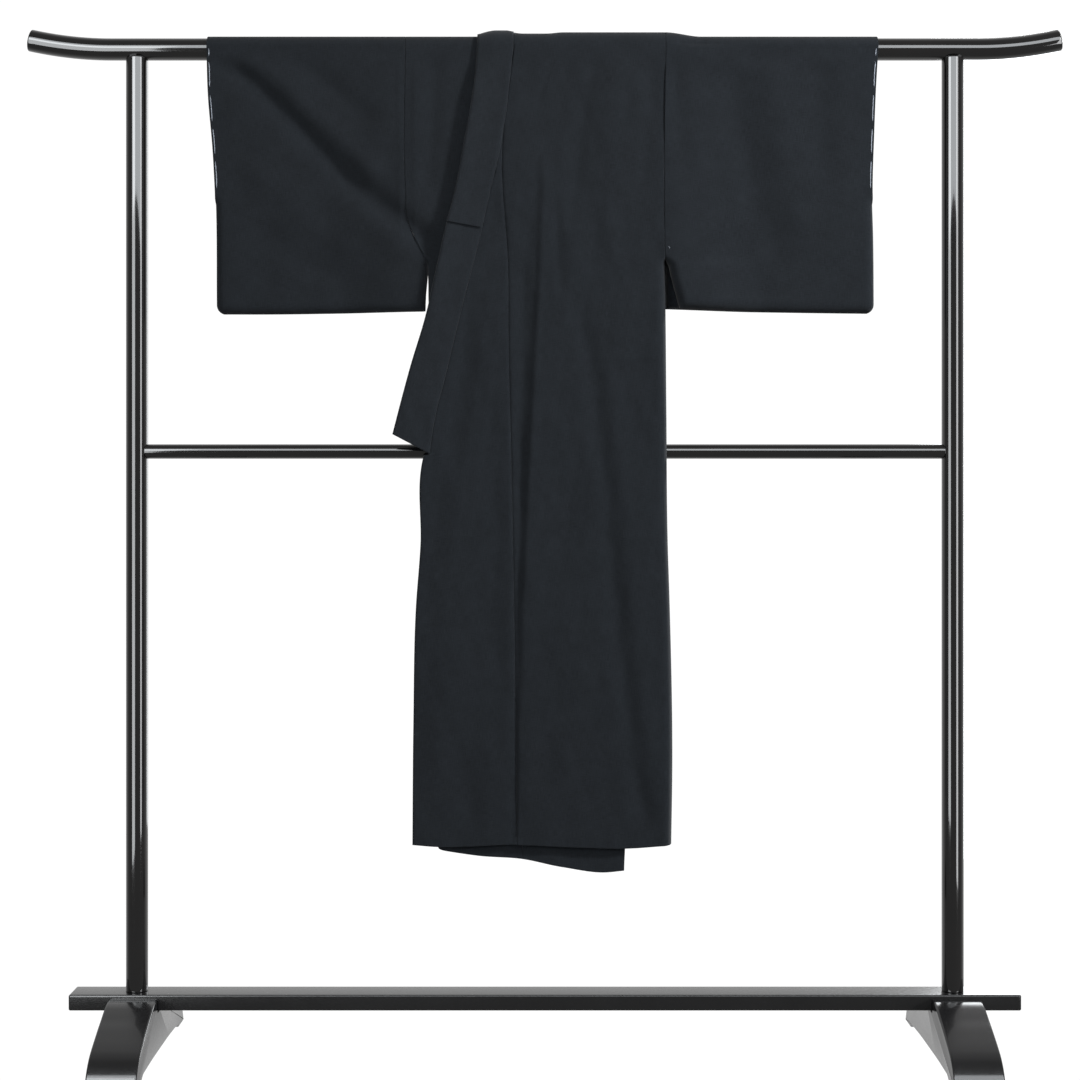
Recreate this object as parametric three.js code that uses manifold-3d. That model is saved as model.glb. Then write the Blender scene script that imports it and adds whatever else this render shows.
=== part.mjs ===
// A man's kimono spread over a lacquered kimono stand.
// Millimetres, +Z up, +X to the wearer's left, -Y to the front, origin on the floor under the middle.
import * as THREE from 'three';
import { mergeVertices } from 'three/addons/utils/BufferGeometryUtils.js';
import Module from 'manifold-3d';

// ---- driving dimensions ----
const seamGap = 0.3;
const clothThickness = 2;
const collarThickness = 3;
const overCollarThickness = 2;

const rod = { radius: 18, height: 1655, halfLength: 845, tipRise: 15, tipRun: 135, sides: 20 };
const post = { radius: 18, spacing: 1345, sides: 24 };
const rail = { radius: 12, height: 992, sides: 20 };
const beam = { length: 1558, depth: 60, thickness: 26, bottom: 77, corner: 3 };
const foot = { width: 80, halfDepth: 210, top: 95, flatHalf: 46, archHalf: 150, archRise: 9, padInner: 162 };

// The kimono, measured as it hangs: x of its seams and edges, z of its openings and hems.
const garment = {
  shoulderRight: -229, shoulderLeft: 198,      // where the sleeves are sewn to the body
  neckRight: 19, neckLeft: -50,                // neck points: the two shoulders lie over each other
  sleeveBottom: 1219, armholeEnd: 1322, cuffEnd: 1416,
  backNeck: 1598, backHem: 360, frontHem: 355, underHem: 312,
  neckToBackSeam: 89,
};
// How far the middle of each layer stands from the rod's axis, in front of it where the rail holds the
// back forward, and in front of it at the front hems.
const rodLayers = { sleeve: 19.9, right: 19.9, middle: 23.4, left: 26.9 };
const railLayers = { outerBack: -13.3, middleBack: -17, innerBack: -20.7 };
const hemLayers = { right: -61, left: -71.5 };
const closingRun = 13;

// ---- colours ----
const clothColour = 0x292d35;
const collarColour = 0x282b33;
const threadlessFinish = { roughness: 0.95, metalness: 0 };
const lacquer = { color: 0x0c0a0a, roughness: 0.18, metalness: 0 };
const satinLacquer = { color: 0x161515, roughness: 0.32, metalness: 0 };

const kimonoOnStand = new THREE.Group();

function add(name, geometry, finish) {
  const mesh = new THREE.Mesh(geometry, new THREE.MeshStandardMaterial(finish));
  mesh.name = name;
  kimonoOnStand.add(mesh);
  return mesh;
}

// ---- joining and cutting ----
const wasm = await Module();
wasm.setup();

function toSolid(geometry) {
  const bare = geometry.clone();
  bare.deleteAttribute('normal');
  bare.deleteAttribute('uv');
  const merged = mergeVertices(bare, 1e-4);
  return new wasm.Manifold(new wasm.Mesh({
    numProp: 3,
    vertProperties: Float32Array.from(merged.attributes.position.array),
    triVerts: Uint32Array.from(merged.index.array),
  }));
}

function toGeometry(solid) {
  const mesh = solid.getMesh();
  const geometry = new THREE.BufferGeometry();
  geometry.setAttribute('position', new THREE.BufferAttribute(Float32Array.from(mesh.vertProperties), 3));
  geometry.setIndex(Array.from(mesh.triVerts));
  return geometry;
}

const cut = (body, ...tools) =>
  toGeometry(tools.reduce((solid, tool) => solid.subtract(toSolid(tool)), toSolid(body)));

// ---- the stand ----
function roundBar(radius, length, sides, alongX) {
  const bar = new THREE.CylinderGeometry(radius, radius, length, sides);
  return alongX ? bar.rotateZ(Math.PI / 2) : bar.rotateX(Math.PI / 2);
}

// The top rod is straight between the posts and its two ends turn up.
function makeRod() {
  const stations = [];
  const straight = rod.halfLength - rod.tipRun;
  const tipSteps = 6;
  for (let i = tipSteps; i >= 0; i -= 1) {
    const run = i / tipSteps;
    stations.push(new THREE.Vector3(-straight - rod.tipRun * run, 0, rod.height + rod.tipRise * run * run));
  }
  stations.push(...stations.slice().reverse().map((p) => new THREE.Vector3(-p.x, p.y, p.z)));
  const ring = (p, next) => {
    const slope = Math.atan2(next.z - p.z, next.x - p.x);
    return Array.from({ length: rod.sides }, (_, k) => {
      const turn = (k / rod.sides) * 2 * Math.PI;
      const up = rod.radius * Math.cos(turn);
      return new THREE.Vector3(p.x - up * Math.sin(slope), rod.radius * Math.sin(turn), p.z + up * Math.cos(slope));
    });
  };
  const rings = stations.map((p, i) => {
    const before = stations[Math.max(i - 1, 0)];
    const after = stations[Math.min(i + 1, stations.length - 1)];
    const heading = after.clone().sub(before).add(p);
    return ring(p, heading);
  });
  return closedTube(rings);
}

// A solid through rings of equal count, with flat fans over its two ends.
function closedTube(rings) {
  const count = rings[0].length;
  const points = rings.flat();
  const centre = (ring) => ring.reduce((sum, p) => sum.add(p), new THREE.Vector3()).divideScalar(count);
  points.push(centre(rings[0]), centre(rings[rings.length - 1]));
  const [firstCap, lastCap] = [points.length - 2, points.length - 1];
  const faces = [];
  for (let k = 0; k < count; k += 1) {
    const n = (k + 1) % count;
    for (let r = 0; r + 1 < rings.length; r += 1) {
      const [a, b, c, d] = [r * count + k, r * count + n, (r + 1) * count + n, (r + 1) * count + k];
      faces.push(a, b, c, a, c, d);
    }
    const last = (rings.length - 1) * count;
    faces.push(firstCap, n, k, lastCap, last + k, last + n);
  }
  return outward(points, faces);
}

// An indexed geometry with its faces turned outward.
function outward(points, faces) {
  let volume = 0;
  for (let i = 0; i < faces.length; i += 3) {
    const [a, b, c] = [points[faces[i]], points[faces[i + 1]], points[faces[i + 2]]];
    volume += a.dot(new THREE.Vector3().crossVectors(b, c));
  }
  const turned = volume < 0 ? faces.slice().reverse() : faces;
  const geometry = new THREE.BufferGeometry().setFromPoints(points);
  geometry.setIndex(turned);
  return geometry.toNonIndexed();
}

// A post stands on the beam, and its top is hollowed to carry the rod.
function makePost(x) {
  const bottom = beam.bottom + beam.thickness + seamGap;
  const length = rod.height - bottom;
  const bar = roundBar(post.radius, length, post.sides, false).translate(x, 0, bottom + length / 2);
  const saddle = roundBar(rod.radius + seamGap, 4 * post.radius, rod.sides, true).translate(x, 0, rod.height);
  return cut(bar, saddle);
}

// The rail runs from post to post, with its ends shaped to their round sides.
function makeRail() {
  const bar = roundBar(rail.radius, post.spacing, rail.sides, true).translate(0, 0, rail.height);
  const sockets = [-1, 1].map((side) => roundBar(post.radius + seamGap, 6 * rail.radius, post.sides, false)
    .translate((side * post.spacing) / 2, 0, rail.height));
  return cut(bar, ...sockets);
}

// A long board with slightly rounded edges, lying in the notches of the feet.
function makeBeam() {
  const [y, z, r] = [beam.depth / 2, beam.thickness / 2, beam.corner];
  const section = new THREE.Shape();
  section.moveTo(-y + r, -z).lineTo(y - r, -z).quadraticCurveTo(y, -z, y, -z + r);
  section.lineTo(y, z - r).quadraticCurveTo(y, z, y - r, z);
  section.lineTo(-y + r, z).quadraticCurveTo(-y, z, -y, z - r);
  section.lineTo(-y, -z + r).quadraticCurveTo(-y, -z, -y + r, -z);
  const board = new THREE.ExtrudeGeometry(section, { depth: beam.length, bevelEnabled: false, curveSegments: 3 });
  return board.rotateY(Math.PI / 2).rotateX(Math.PI / 2)
    .translate(-beam.length / 2, 0, beam.bottom + beam.thickness / 2);
}

// The upper curve of a foot from its flat top down to its toe: distance from the middle, height.
const footCurve = [
  { reach: 61, height: 92 }, { reach: 95, height: 78 }, { reach: 132, height: 64 },
  { reach: 170, height: 48 }, { reach: 190, height: 34 }, { reach: 204, height: 14 },
];

function makeFoot(x) {
  const curve = footCurve.map((p) => [p.reach, p.height]);
  const notch = beam.depth / 2 + seamGap;
  const notchFloor = beam.bottom - seamGap;
  const side = [[notch, notchFloor], [notch, foot.top], [foot.flatHalf, foot.top], ...curve,
    [foot.halfDepth - 1, 4], [foot.halfDepth - 3, 0], [foot.padInner, 0], [foot.archHalf, foot.archRise * 0.7],
    [foot.archHalf / 2, foot.archRise]];
  const mirrored = side.map(([y, z]) => [-y, z]).reverse();
  const outline = new THREE.Shape([...side, ...mirrored].map(([y, z]) => new THREE.Vector2(y, z)));
  const block = new THREE.ExtrudeGeometry(outline, { depth: foot.width, bevelEnabled: false });
  return block.rotateX(Math.PI / 2).rotateZ(Math.PI / 2).translate(x - foot.width / 2, 0, 0);
}

add('rod', makeRod(), lacquer);
for (const [name, side] of [['right', -1], ['left', 1]]) {
  add(`post_${name}`, makePost((side * post.spacing) / 2), lacquer);
  add(`foot_${name}`, makeFoot((side * post.spacing) / 2), satinLacquer);
}
add('rail', makeRail(), lacquer);
add('beam', makeBeam(), satinLacquer);

// ---- how cloth hangs over the rod ----
const { lerp, clamp, smoothstep, degToRad } = THREE.MathUtils;

// A value read from a table's rows, straight between them: `by` and `of` name its columns.
function reading(rows, by, of) {
  const sorted = rows.slice().sort((a, b) => a[by] - b[by]);
  return (at) => {
    const next = sorted.findIndex((row) => row[by] >= at);
    if (next === 0) return sorted[0][of];
    if (next < 0) return sorted[sorted.length - 1][of];
    const [low, high] = [sorted[next - 1], sorted[next]];
    return lerp(low[of], high[of], (at - low[by]) / (high[by] - low[by]));
  };
}

// The cloth passes in front of the rail: the back leans forward from the rod down to it, and the front
// all the way to the hem.
const leanEnd = rail.height + 2 * rail.radius;
const leaning = (atRod, atEnd, end = leanEnd) => (z) =>
  lerp(atRod, atEnd, clamp((rod.height - z) / (rod.height - end), 0, 1));
const layers = {
  frontLeft: leaning(-rodLayers.left, hemLayers.left, garment.underHem),
  frontRight: leaning(-rodLayers.right, hemLayers.right, garment.underHem),
  backOuter: leaning(rodLayers.left, railLayers.outerBack),
  backMiddle: leaning(rodLayers.middle, railLayers.middleBack),
  backInner: leaning(rodLayers.right, railLayers.innerBack),
};

// Soft folds of the front: each a trough (depth above 0) or a ridge (below 0) from one point to another.
const sleeveFolds = [
  { fromX: -534, fromZ: 1640, toX: -360, toZ: 1480, width: 19, depth: 6 },
  { fromX: -360, fromZ: 1480, toX: -240, toZ: 1375, width: 20, depth: 9 },
  { fromX: -500, fromZ: 1655, toX: -330, toZ: 1500, width: 22, depth: -4 },
  { fromX: 255, fromZ: 1600, toX: 330, toZ: 1300, width: 30, depth: 4 },
];
const frontFolds = [
  { fromX: -6, fromZ: 1470, toX: -10, toZ: 1225, width: 11, depth: -5 },
  { fromX: -10, fromZ: 1225, toX: -35, toZ: 740, width: 11, depth: -6 },
  { fromX: -35, fromZ: 740, toX: -43, toZ: 352, width: 9, depth: -5 },
  { fromX: -38, fromZ: 1400, toX: -36, toZ: 1000, width: 15, depth: 4.5 },
  { fromX: 68, fromZ: 1155, toX: 104, toZ: 875, width: 20, depth: 3.5 },
  { fromX: 104, fromZ: 875, toX: 159, toZ: 400, width: 20, depth: 4 },
];

// Folds die away where the cloth lies tight over the rod.
const freeOfRod = (z) => smoothstep(rod.height - z, 10, 60);

function relief(x, z, folds) {
  let depth = 0;
  for (const fold of folds) {
    const [runX, runZ] = [fold.toX - fold.fromX, fold.toZ - fold.fromZ];
    const length = Math.hypot(runX, runZ);
    const along = ((x - fold.fromX) * runX + (z - fold.fromZ) * runZ) / length;
    const aside = Math.abs((x - fold.fromX) * runZ - (z - fold.fromZ) * runX) / length;
    const past = Math.max(-along, along - length, 0);
    depth += fold.depth * Math.exp(-((aside / fold.width) ** 2) - (past / (2 * fold.width)) ** 2);
  }
  return depth * freeOfRod(z);
}

// Where two walls are sewn edge to edge they round towards each other: 0 at the edge, 1 past the run.
const closing = (distance, run = closingRun) =>
  (distance >= run ? 1 : Math.sqrt(1 - (1 - Math.max(distance, 0) / run) ** 2));
const seamHalf = seamGap;
const cornerReach = 4;
const nearness = (distance) => clamp(1 - distance / cornerReach, 0, 1);

// Stations of a wall that hangs over the rod: up its front, round the rod and down its back.
const crestTurns = [-67.5, -45, -22.5, 0, 22.5, 45, 67.5];
function overRod(frontHeights, backHeights) {
  return [
    ...frontHeights.map((z) => ({ z, side: -1 })),
    ...crestTurns.map((turn) => ({ turn: degToRad(turn), side: 0, z: rod.height })),
    ...backHeights.map((z) => ({ z, side: 1 })),
  ];
}

const onCrest = (x, row, radius) =>
  new THREE.Vector3(x, radius * Math.sin(row.turn), rod.height + radius * Math.cos(row.turn));

// Places across a wall: close together at both edges, even between them.
const edgeSteps = [0, 0.8, 4, closingRun];
function spread(from, to, innerSteps, startSteps = edgeSteps, endSteps = edgeSteps) {
  const way = Math.sign(to - from);
  const [start, end] = [startSteps[startSteps.length - 1], endSteps[endSteps.length - 1]];
  const width = Math.abs(to - from) - start - end;
  return [
    ...startSteps.map((step) => from + way * step),
    ...Array.from({ length: innerSteps - 1 }, (_, i) => from + way * (start + (width * (i + 1)) / innerSteps)),
    ...endSteps.slice().reverse().map((step) => to - way * step),
  ];
}

// A closed wall of even thickness on both sides of a grid of points.
// `covers` says which cells of the grid are cloth.
function clothWall(columns, rows, middle, { thickness = clothThickness, covers = () => true } = {}) {
  const grid = rows.map((row, r) => Array.from({ length: columns }, (_, c) => middle(c, row, r)));
  const kept = (c, r) => c >= 0 && r >= 0 && c + 1 < columns && r + 1 < rows.length && covers(c, r);
  const heading = (before, here, after) => {
    const way = new THREE.Vector3();
    if (before) way.add(here.clone().sub(before).normalize());
    if (after) way.add(after.clone().sub(here).normalize());
    return way.normalize();
  };
  const touches = (c, r, dc, dr) => {
    const cells = dc ? [[dc > 0 ? c : c - 1, r], [dc > 0 ? c : c - 1, r - 1]]
      : [[c, dr > 0 ? r : r - 1], [c - 1, dr > 0 ? r : r - 1]];
    return cells.some(([cc, rr]) => kept(cc, rr)) ? grid[r + dr][c + dc] : null;
  };
  const faces = { upper: [], lower: [] };
  grid.forEach((line, r) => line.forEach((here, c) => {
    const across = heading(touches(c, r, -1, 0), here, touches(c, r, 1, 0));
    const along = heading(touches(c, r, 0, -1), here, touches(c, r, 0, 1));
    const normal = across.cross(along).normalize().multiplyScalar(thickness / 2);
    faces.upper.push(here.clone().add(normal));
    faces.lower.push(here.clone().sub(normal));
  }));
  const count = columns * rows.length;
  const points = [...faces.upper, ...faces.lower];
  const triangles = [];
  const quad = (a, b, c, d) => triangles.push(a, b, c, a, c, d);
  const edge = (a, b) => quad(a, b, b + count, a + count);
  for (let r = 0; r + 1 < rows.length; r += 1) {
    for (let c = 0; c + 1 < columns; c += 1) {
      if (!kept(c, r)) continue;
      const [a, b, d, e] = [r * columns + c, r * columns + c + 1, (r + 1) * columns + c + 1, (r + 1) * columns + c];
      quad(a, b, d, e);
      quad(e + count, d + count, b + count, a + count);
      if (!kept(c, r - 1)) edge(b, a);
      if (!kept(c + 1, r)) edge(d, b);
      if (!kept(c, r + 1)) edge(e, d);
      if (!kept(c - 1, r)) edge(a, e);
    }
  }
  return outward(points, triangles);
}

// ---- sleeves: bags over the rod, open at the cuff and the armhole ----
const sideOfLeft = reading([
  { z: 1655, x: 198 }, { z: 1537, x: 195.5 }, { z: 1229, x: 195 }, { z: 1072, x: 197 },
  { z: 839, x: 200 }, { z: 740, x: 203 }, { z: 485, x: 207 }, { z: 355, x: 205 },
], 'z', 'x');
const sideOfRight = reading([
  { z: 1655, x: -229 }, { z: 1330, x: -227 }, { z: 1300, x: -198 }, { z: 1240, x: -191 },
  { z: 1000, x: -190 }, { z: 600, x: -182 }, { z: 342, x: -173 },
], 'z', 'x');
const cuffOfRight = reading([
  { z: 1655, x: -557 }, { z: 1575, x: -554 }, { z: 1488, x: -546 }, { z: 1414, x: -542 },
  { z: 1229, x: -540 },
], 'z', 'x');
const cuffOfLeft = reading([
  { z: 1655, x: 542 }, { z: 1593, x: 538 }, { z: 1505, x: 535 }, { z: 1424, x: 534 },
  { z: 1344, x: 538 }, { z: 1229, x: 540 },
], 'z', 'x');
const cuffCorner = 14;
const ownHalfDepth = reading([{ z: 1655, h: 19.3 }, { z: 1500, h: 15 }, { z: 1219, h: 13 }], 'z', 'h');

const sleeveHeights = [1219, 1219.8, 1223, 1232, 1264, 1296, 1310, 1325, 1362, 1398, 1416,
  1447, 1480, 1513, 1546, 1580, 1614, 1655];
const sleeveBackHeights = [1655, 1560, 1416, 1398, 1325, 1310, 1296, 1232, 1223, 1219.8, 1219];

// `side` is -1 for the wearer's right sleeve and 1 for the left.
function makeSleeve(side) {
  const cuff = side < 0 ? cuffOfRight : cuffOfLeft;
  const bodySide = side < 0 ? sideOfRight : sideOfLeft;
  const front = side < 0 ? layers.frontRight : layers.frontLeft;
  const back = side < 0 ? layers.backInner : layers.backOuter;
  const bodyRadius = side < 0 ? rodLayers.right : rodLayers.left;
  const freeEdge = side < 0 ? -206 : 200;
  const cuffEdge = (z) => {
    const low = Math.max(cuffCorner - (z - garment.sleeveBottom), 0);
    return cuff(z) - side * (cuffCorner - Math.sqrt(cuffCorner ** 2 - low ** 2));
  };
  const innerEdge = (z) => {
    const sewn = bodySide(Math.max(z, garment.armholeEnd)) + (side * seamGap) / 2;
    return lerp(freeEdge, sewn, smoothstep(z, garment.armholeEnd - 24, garment.armholeEnd + 4));
  };
  const steps = 11;
  const columns = steps - 1 + 2 * edgeSteps.length;
  const point = (c, row) => {
    const x = spread(cuffEdge(row.z), innerEdge(row.z), steps)[c];
    const fromBody = Math.abs(x - innerEdge(row.z));
    if (row.side === 0) {
      return onCrest(x, row, lerp(bodyRadius, rodLayers.sleeve, smoothstep(fromBody, 0, 60)));
    }
    const reach = 1 - smoothstep(fromBody, 0, 150);
    const bodyZ = Math.max(row.z, garment.armholeEnd - 60);
    const centre = lerp(0, (front(bodyZ) + back(bodyZ)) / 2, reach);
    let half = lerp(ownHalfDepth(row.z), (back(bodyZ) - front(bodyZ)) / 2, reach);
    const cuffClosed = 1 - smoothstep(row.z, garment.cuffEnd - 18, garment.cuffEnd);
    const innerClosed = 1 - smoothstep(row.z, garment.armholeEnd - 26, garment.armholeEnd - 12);
    const toSide = Math.min(Math.abs(x - cuffEdge(row.z)) + closingRun * (1 - cuffClosed),
      fromBody + closingRun * (1 - innerClosed));
    const toBottom = row.z - garment.sleeveBottom;
    const edges = closing(Math.min(toSide, toBottom));
    const corner = nearness(toSide) * nearness(toBottom) * (clothThickness / 2);
    half = Math.max(half * edges, seamHalf + corner);
    const folded = row.side < 0 ? relief(x, row.z, sleeveFolds) * edges : 0;
    return new THREE.Vector3(x, centre + row.side * half + folded, row.z);
  };
  return clothWall(columns, overRod(sleeveHeights, sleeveBackHeights), point);
}

const cloth = { color: clothColour, ...threadlessFinish };
add('sleeve_right', makeSleeve(-1), cloth);
add('sleeve_left', makeSleeve(1), cloth);

// ---- the body: two lengths of cloth, each from its front hem over the shoulder to its back hem ----
// The left collar, top layer: the x of its free and its sewn edge at each height, and how much lower
// its sewn edge runs there.
const collarCourse = [
  { z: 1655, free: -111, sewn: -51, drop: 0 }, { z: 1600, free: -115, sewn: -57, drop: 0 },
  { z: 1540, free: -124, sewn: -64, drop: 2 }, { z: 1480, free: -135, sewn: -75, drop: 5 },
  { z: 1420, free: -146, sewn: -90, drop: 8 }, { z: 1366, free: -160, sewn: -102, drop: 10 },
  { z: 1290, free: -177, sewn: -122, drop: 14 }, { z: 1210, free: -195, sewn: -143, drop: 18 },
  { z: 1130, free: -219, sewn: -163, drop: 22 }, { z: 1070, free: -235, sewn: -179, drop: 27 },
  { z: 1019, free: -248, sewn: -187, drop: 32 },
];
const collarSewn = reading(collarCourse.map((row) => ({ z: row.z - row.drop, x: row.sewn })), 'z', 'x');
const okumiTop = 1452;

const seamLeft = reading([
  { z: 1655, x: -50 }, { z: 1476, x: -70 }, { z: 1296, x: -60 }, { z: 1173, x: -59 },
  { z: 961, x: -54 }, { z: 750, x: -50 }, { z: 355, x: -45 },
], 'z', 'x');
const innerOfLeft = (z) => (z > okumiTop ? Math.max(collarSewn(z) + 2 * seamGap, seamLeft(z)) : seamLeft(z));
const foldLine = reading([
  { z: 1655, x: 20 }, { z: 1485, x: -3 }, { z: 1424, x: -3 }, { z: 1296, x: -6 }, { z: 1172, x: -12 },
  { z: 1052, x: -19 }, { z: 873, x: -28 }, { z: 740, x: -34 }, { z: 351, x: -43.5 },
], 'z', 'x');
const freeEdgeLeft = reading([
  { z: 1019, x: -187 }, { z: 976, x: -199 }, { z: 839, x: -202 }, { z: 740, x: -209 },
  { z: 551, x: -213 }, { z: 355, x: -214 },
], 'z', 'x');

// The right front lies under it and hangs lower.
const seamRight = reading([
  { z: 1655, x: 19 }, { z: 1432, x: 30 }, { z: 1000, x: 0 }, { z: 320, x: -37 },
], 'z', 'x');
const rightCollarCourse = [
  { z: 1655, sewn: 20, free: 78 }, { z: 1480, sewn: 40, free: 98 }, { z: 1366, sewn: 62, free: 119 },
  { z: 1210, sewn: 95, free: 150 }, { z: 1090, sewn: 121, free: 175 }, { z: 975, sewn: 140, free: 186 },
];
const rightCollarSewn = reading(rightCollarCourse, 'z', 'sewn');
const rightOkumiTop = 1410;
const innerOfRight = (z) => (z > rightOkumiTop ? Math.max(Math.min(rightCollarSewn(z) - 2 * seamGap, 60), 19)
  : seamRight(z));
const freeEdgeRight = reading([{ z: 975, x: 139 }, { z: 940, x: 146 }, { z: 305, x: 128 }], 'z', 'x');

// Hems wave a little: how much lower each stands at x than its nominal height.
const frontHemDrop = reading([
  { x: -215, drop: 0 }, { x: -45, drop: 0 }, { x: 48, drop: 4 }, { x: 127, drop: 6 }, { x: 206, drop: 1 },
], 'x', 'drop');
const underHemDrop = reading([
  { x: -173, drop: -34 }, { x: -109, drop: -24 }, { x: -37, drop: -19 }, { x: 27, drop: -6 },
  { x: 95, drop: 3 }, { x: 128, drop: 0 },
], 'x', 'drop');
const hemReach = 110;
const withHem = (drop, x, z, hem) => z - drop(x) * clamp(1 - (z - hem) / hemReach, 0, 1);

// Behind, each back turns under itself beside the middle, and the two meet in the layer between.
const meetX = (garment.neckRight + garment.neckLeft) / 2;
const pleatEdge = {
  left: (garment.neckLeft + meetX - garment.neckToBackSeam) / 2,
  right: (garment.neckRight + meetX + garment.neckToBackSeam) / 2,
};
// Places past the neck point: flat run, half-round turn, run back to the seam; `turn` is in degrees.
const pleatStations = [
  { run: 0.5 }, { run: 1 }, { turn: 45 }, { turn: 90 }, { turn: 135 }, { turn: 180 },
  { back: 0.35 }, { back: 0.7 }, { back: 1 },
];

function pleatPoint(station, side, z, neckX) {
  const outer = side > 0 ? layers.backOuter(z) : layers.backInner(z);
  const middle = layers.backMiddle(z);
  const radius = Math.abs(middle - outer) / 2;
  const turnX = (side > 0 ? pleatEdge.left + radius : pleatEdge.right - radius);
  if (station.run !== undefined) return new THREE.Vector3(lerp(neckX, turnX, station.run), outer, z);
  if (station.back !== undefined) {
    return new THREE.Vector3(lerp(turnX, meetX - (side * seamGap) / 2, station.back), middle, z);
  }
  const turn = degToRad(station.turn);
  return new THREE.Vector3(turnX - side * radius * Math.sin(turn),
    lerp(outer, middle, (1 - Math.cos(turn)) / 2), z);
}

const leftFrontHeights = [355, 400, 470, 560, 650, 740, 820, 900, 983, 1045, 1105, 1172, 1235, 1296, 1310,
  1325, 1380, okumiTop, 1480, 1530, 1580, 1630, 1655];
const rightFrontHeights = [312, 360, 500, 700, 860, 1000, 1120, 1240, 1270, 1296, 1310, 1325, 1380, 1410,
  1412, 1480, 1560, 1655];
const backHeights = [1655, 1625, 1598, 1500, 1400, 1325, 1310, 1296, 1150, leanEnd, 800, 580, 360];

// `side` is 1 for the wearer's left body and -1 for the right.
function makeBody(side) {
  const left = side > 0;
  const sideEdge = left ? sideOfLeft : sideOfRight;
  const inner = left ? innerOfLeft : innerOfRight;
  const front = left ? layers.frontLeft : layers.frontRight;
  const back = left ? layers.backOuter : layers.backInner;
  const radius = left ? rodLayers.left : rodLayers.right;
  const neck = left ? garment.neckLeft : garment.neckRight;
  const [hem, hemDrop] = left ? [garment.frontHem, frontHemDrop] : [garment.underHem, underHemDrop];
  const [wideSteps, foldSteps] = left ? [7, 4] : [5, 3];
  const flatColumns = edgeSteps.length + wideSteps + foldSteps;
  const rows = overRod(left ? leftFrontHeights : rightFrontHeights, backHeights);

  const placeAcross = (c, row) => {
    const sewnSide = sideEdge(row.z) - (side * seamGap) / 2;
    const innerX = row.side < 0 ? inner(row.z) + (side * seamGap) / 2 : neck + (side * seamGap);
    const crease = row.side < 0 && left ? foldLine(row.z) : lerp(innerX, sewnSide, 0.25);
    if (c < edgeSteps.length) return sewnSide - side * edgeSteps[c];
    const start = sewnSide - side * closingRun;
    const step = c - edgeSteps.length + 1;
    return step <= wideSteps ? lerp(start, crease, step / wideSteps)
      : lerp(crease, innerX, (step - wideSteps) / foldSteps);
  };
  const point = (c, row) => {
    if (c >= flatColumns && row.side > 0) {
      return pleatPoint(pleatStations[c - flatColumns], side, row.z, neck);
    }
    const x = placeAcross(Math.min(c, flatColumns - 1), row);
    if (row.side === 0) return onCrest(x, row, radius);
    const centre = (front(row.z) + back(row.z)) / 2;
    const closed = 1 - smoothstep(row.z, garment.armholeEnd - 26, garment.armholeEnd - 12);
    const sewn = lerp(1, closing(Math.abs(x - sideEdge(row.z))), closed);
    const half = Math.max(((back(row.z) - front(row.z)) / 2) * sewn, seamHalf);
    const folded = row.side < 0 && left ? relief(x, row.z, frontFolds) * sewn : 0;
    const z = row.side < 0 ? withHem(hemDrop, x, row.z, hem) : row.z;
    return new THREE.Vector3(x, centre + row.side * half + folded, z);
  };
  const covers = (c, r) => c + 1 < flatColumns || (rows[r].side > 0 && rows[r].z <= garment.backNeck);
  return clothWall(flatColumns + pleatStations.length, rows, point, { covers });
}

// ---- okumi: the overlap panel between the front seam and the free edge ----
function makeOkumi(side) {
  const left = side > 0;
  const heights = left ? [...leftFrontHeights.filter((z) => z <= okumiTop), 985.5].sort((a, b) => a - b)
    : [312, 360, 480, 620, 780, 940, 975, 1090, 1210, 1330, rightOkumiTop];
  const [seam, collarEdge, freeEdge] = left ? [seamLeft, collarSewn, freeEdgeLeft]
    : [seamRight, rightCollarSewn, freeEdgeRight];
  const collarEnd = left ? 985 : 975;
  const front = left ? layers.frontLeft : layers.frontRight;
  const [hem, hemDrop] = left ? [garment.frontHem, frontHemDrop] : [garment.underHem, underHemDrop];
  const steps = 6;
  const point = (c, row) => {
    const outer = row.z >= collarEnd ? collarEdge(row.z) + side * 3 * seamGap : freeEdge(row.z);
    const x = lerp(outer, seam(row.z) - side * 1.5 * seamGap, c / steps);
    const folded = left ? relief(x, row.z, frontFolds) : 0;
    return new THREE.Vector3(x, front(row.z) + folded, withHem(hemDrop, x, row.z, hem));
  };
  return clothWall(steps + 1, heights.map((z) => ({ z })), point);
}

// ---- collar ----
const collarSteps = 3;
const collarCrest = [-67.5, -45, -22.5, 0, 22.5, 45, 67.5, 90];

// The left stretch runs from its tip up the front and over the rod, `lift` proud of the front.
function collarPoint(share, row, lift) {
  if (row.turn !== undefined) {
    const [free, sewn] = [collarCourse[0].free, collarCourse[0].sewn];
    return onCrest(lerp(free, sewn, share), row, rodLayers.left + lift);
  }
  const z = row.z - row.drop * share;
  const x = lerp(row.free, row.sewn, share);
  return new THREE.Vector3(x, layers.frontLeft(z) - lift, z);
}

function makeLeftCollar() {
  const rows = [...collarCourse.slice().reverse(),
    ...collarCrest.map((turn) => ({ turn: degToRad(turn) }))];
  const lift = (collarThickness - clothThickness) / 2;
  return clothWall(collarSteps + 1, rows, (c, row) => collarPoint(c / collarSteps, row, lift),
    { thickness: collarThickness });
}

// The over-collar covers the upper part of the collar and ends in a straight line across it.
function makeOverCollar() {
  const end = collarCourse.findIndex((row) => row.z === 1366);
  const rows = [...collarCourse.slice(0, end + 1).reverse(),
    ...collarCrest.map((turn) => ({ turn: degToRad(turn) }))];
  const lift = collarThickness - clothThickness / 2 + seamGap + overCollarThickness / 2;
  return clothWall(collarSteps + 1, rows, (c, row) => collarPoint(c / collarSteps, row, lift),
    { thickness: overCollarThickness });
}

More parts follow.
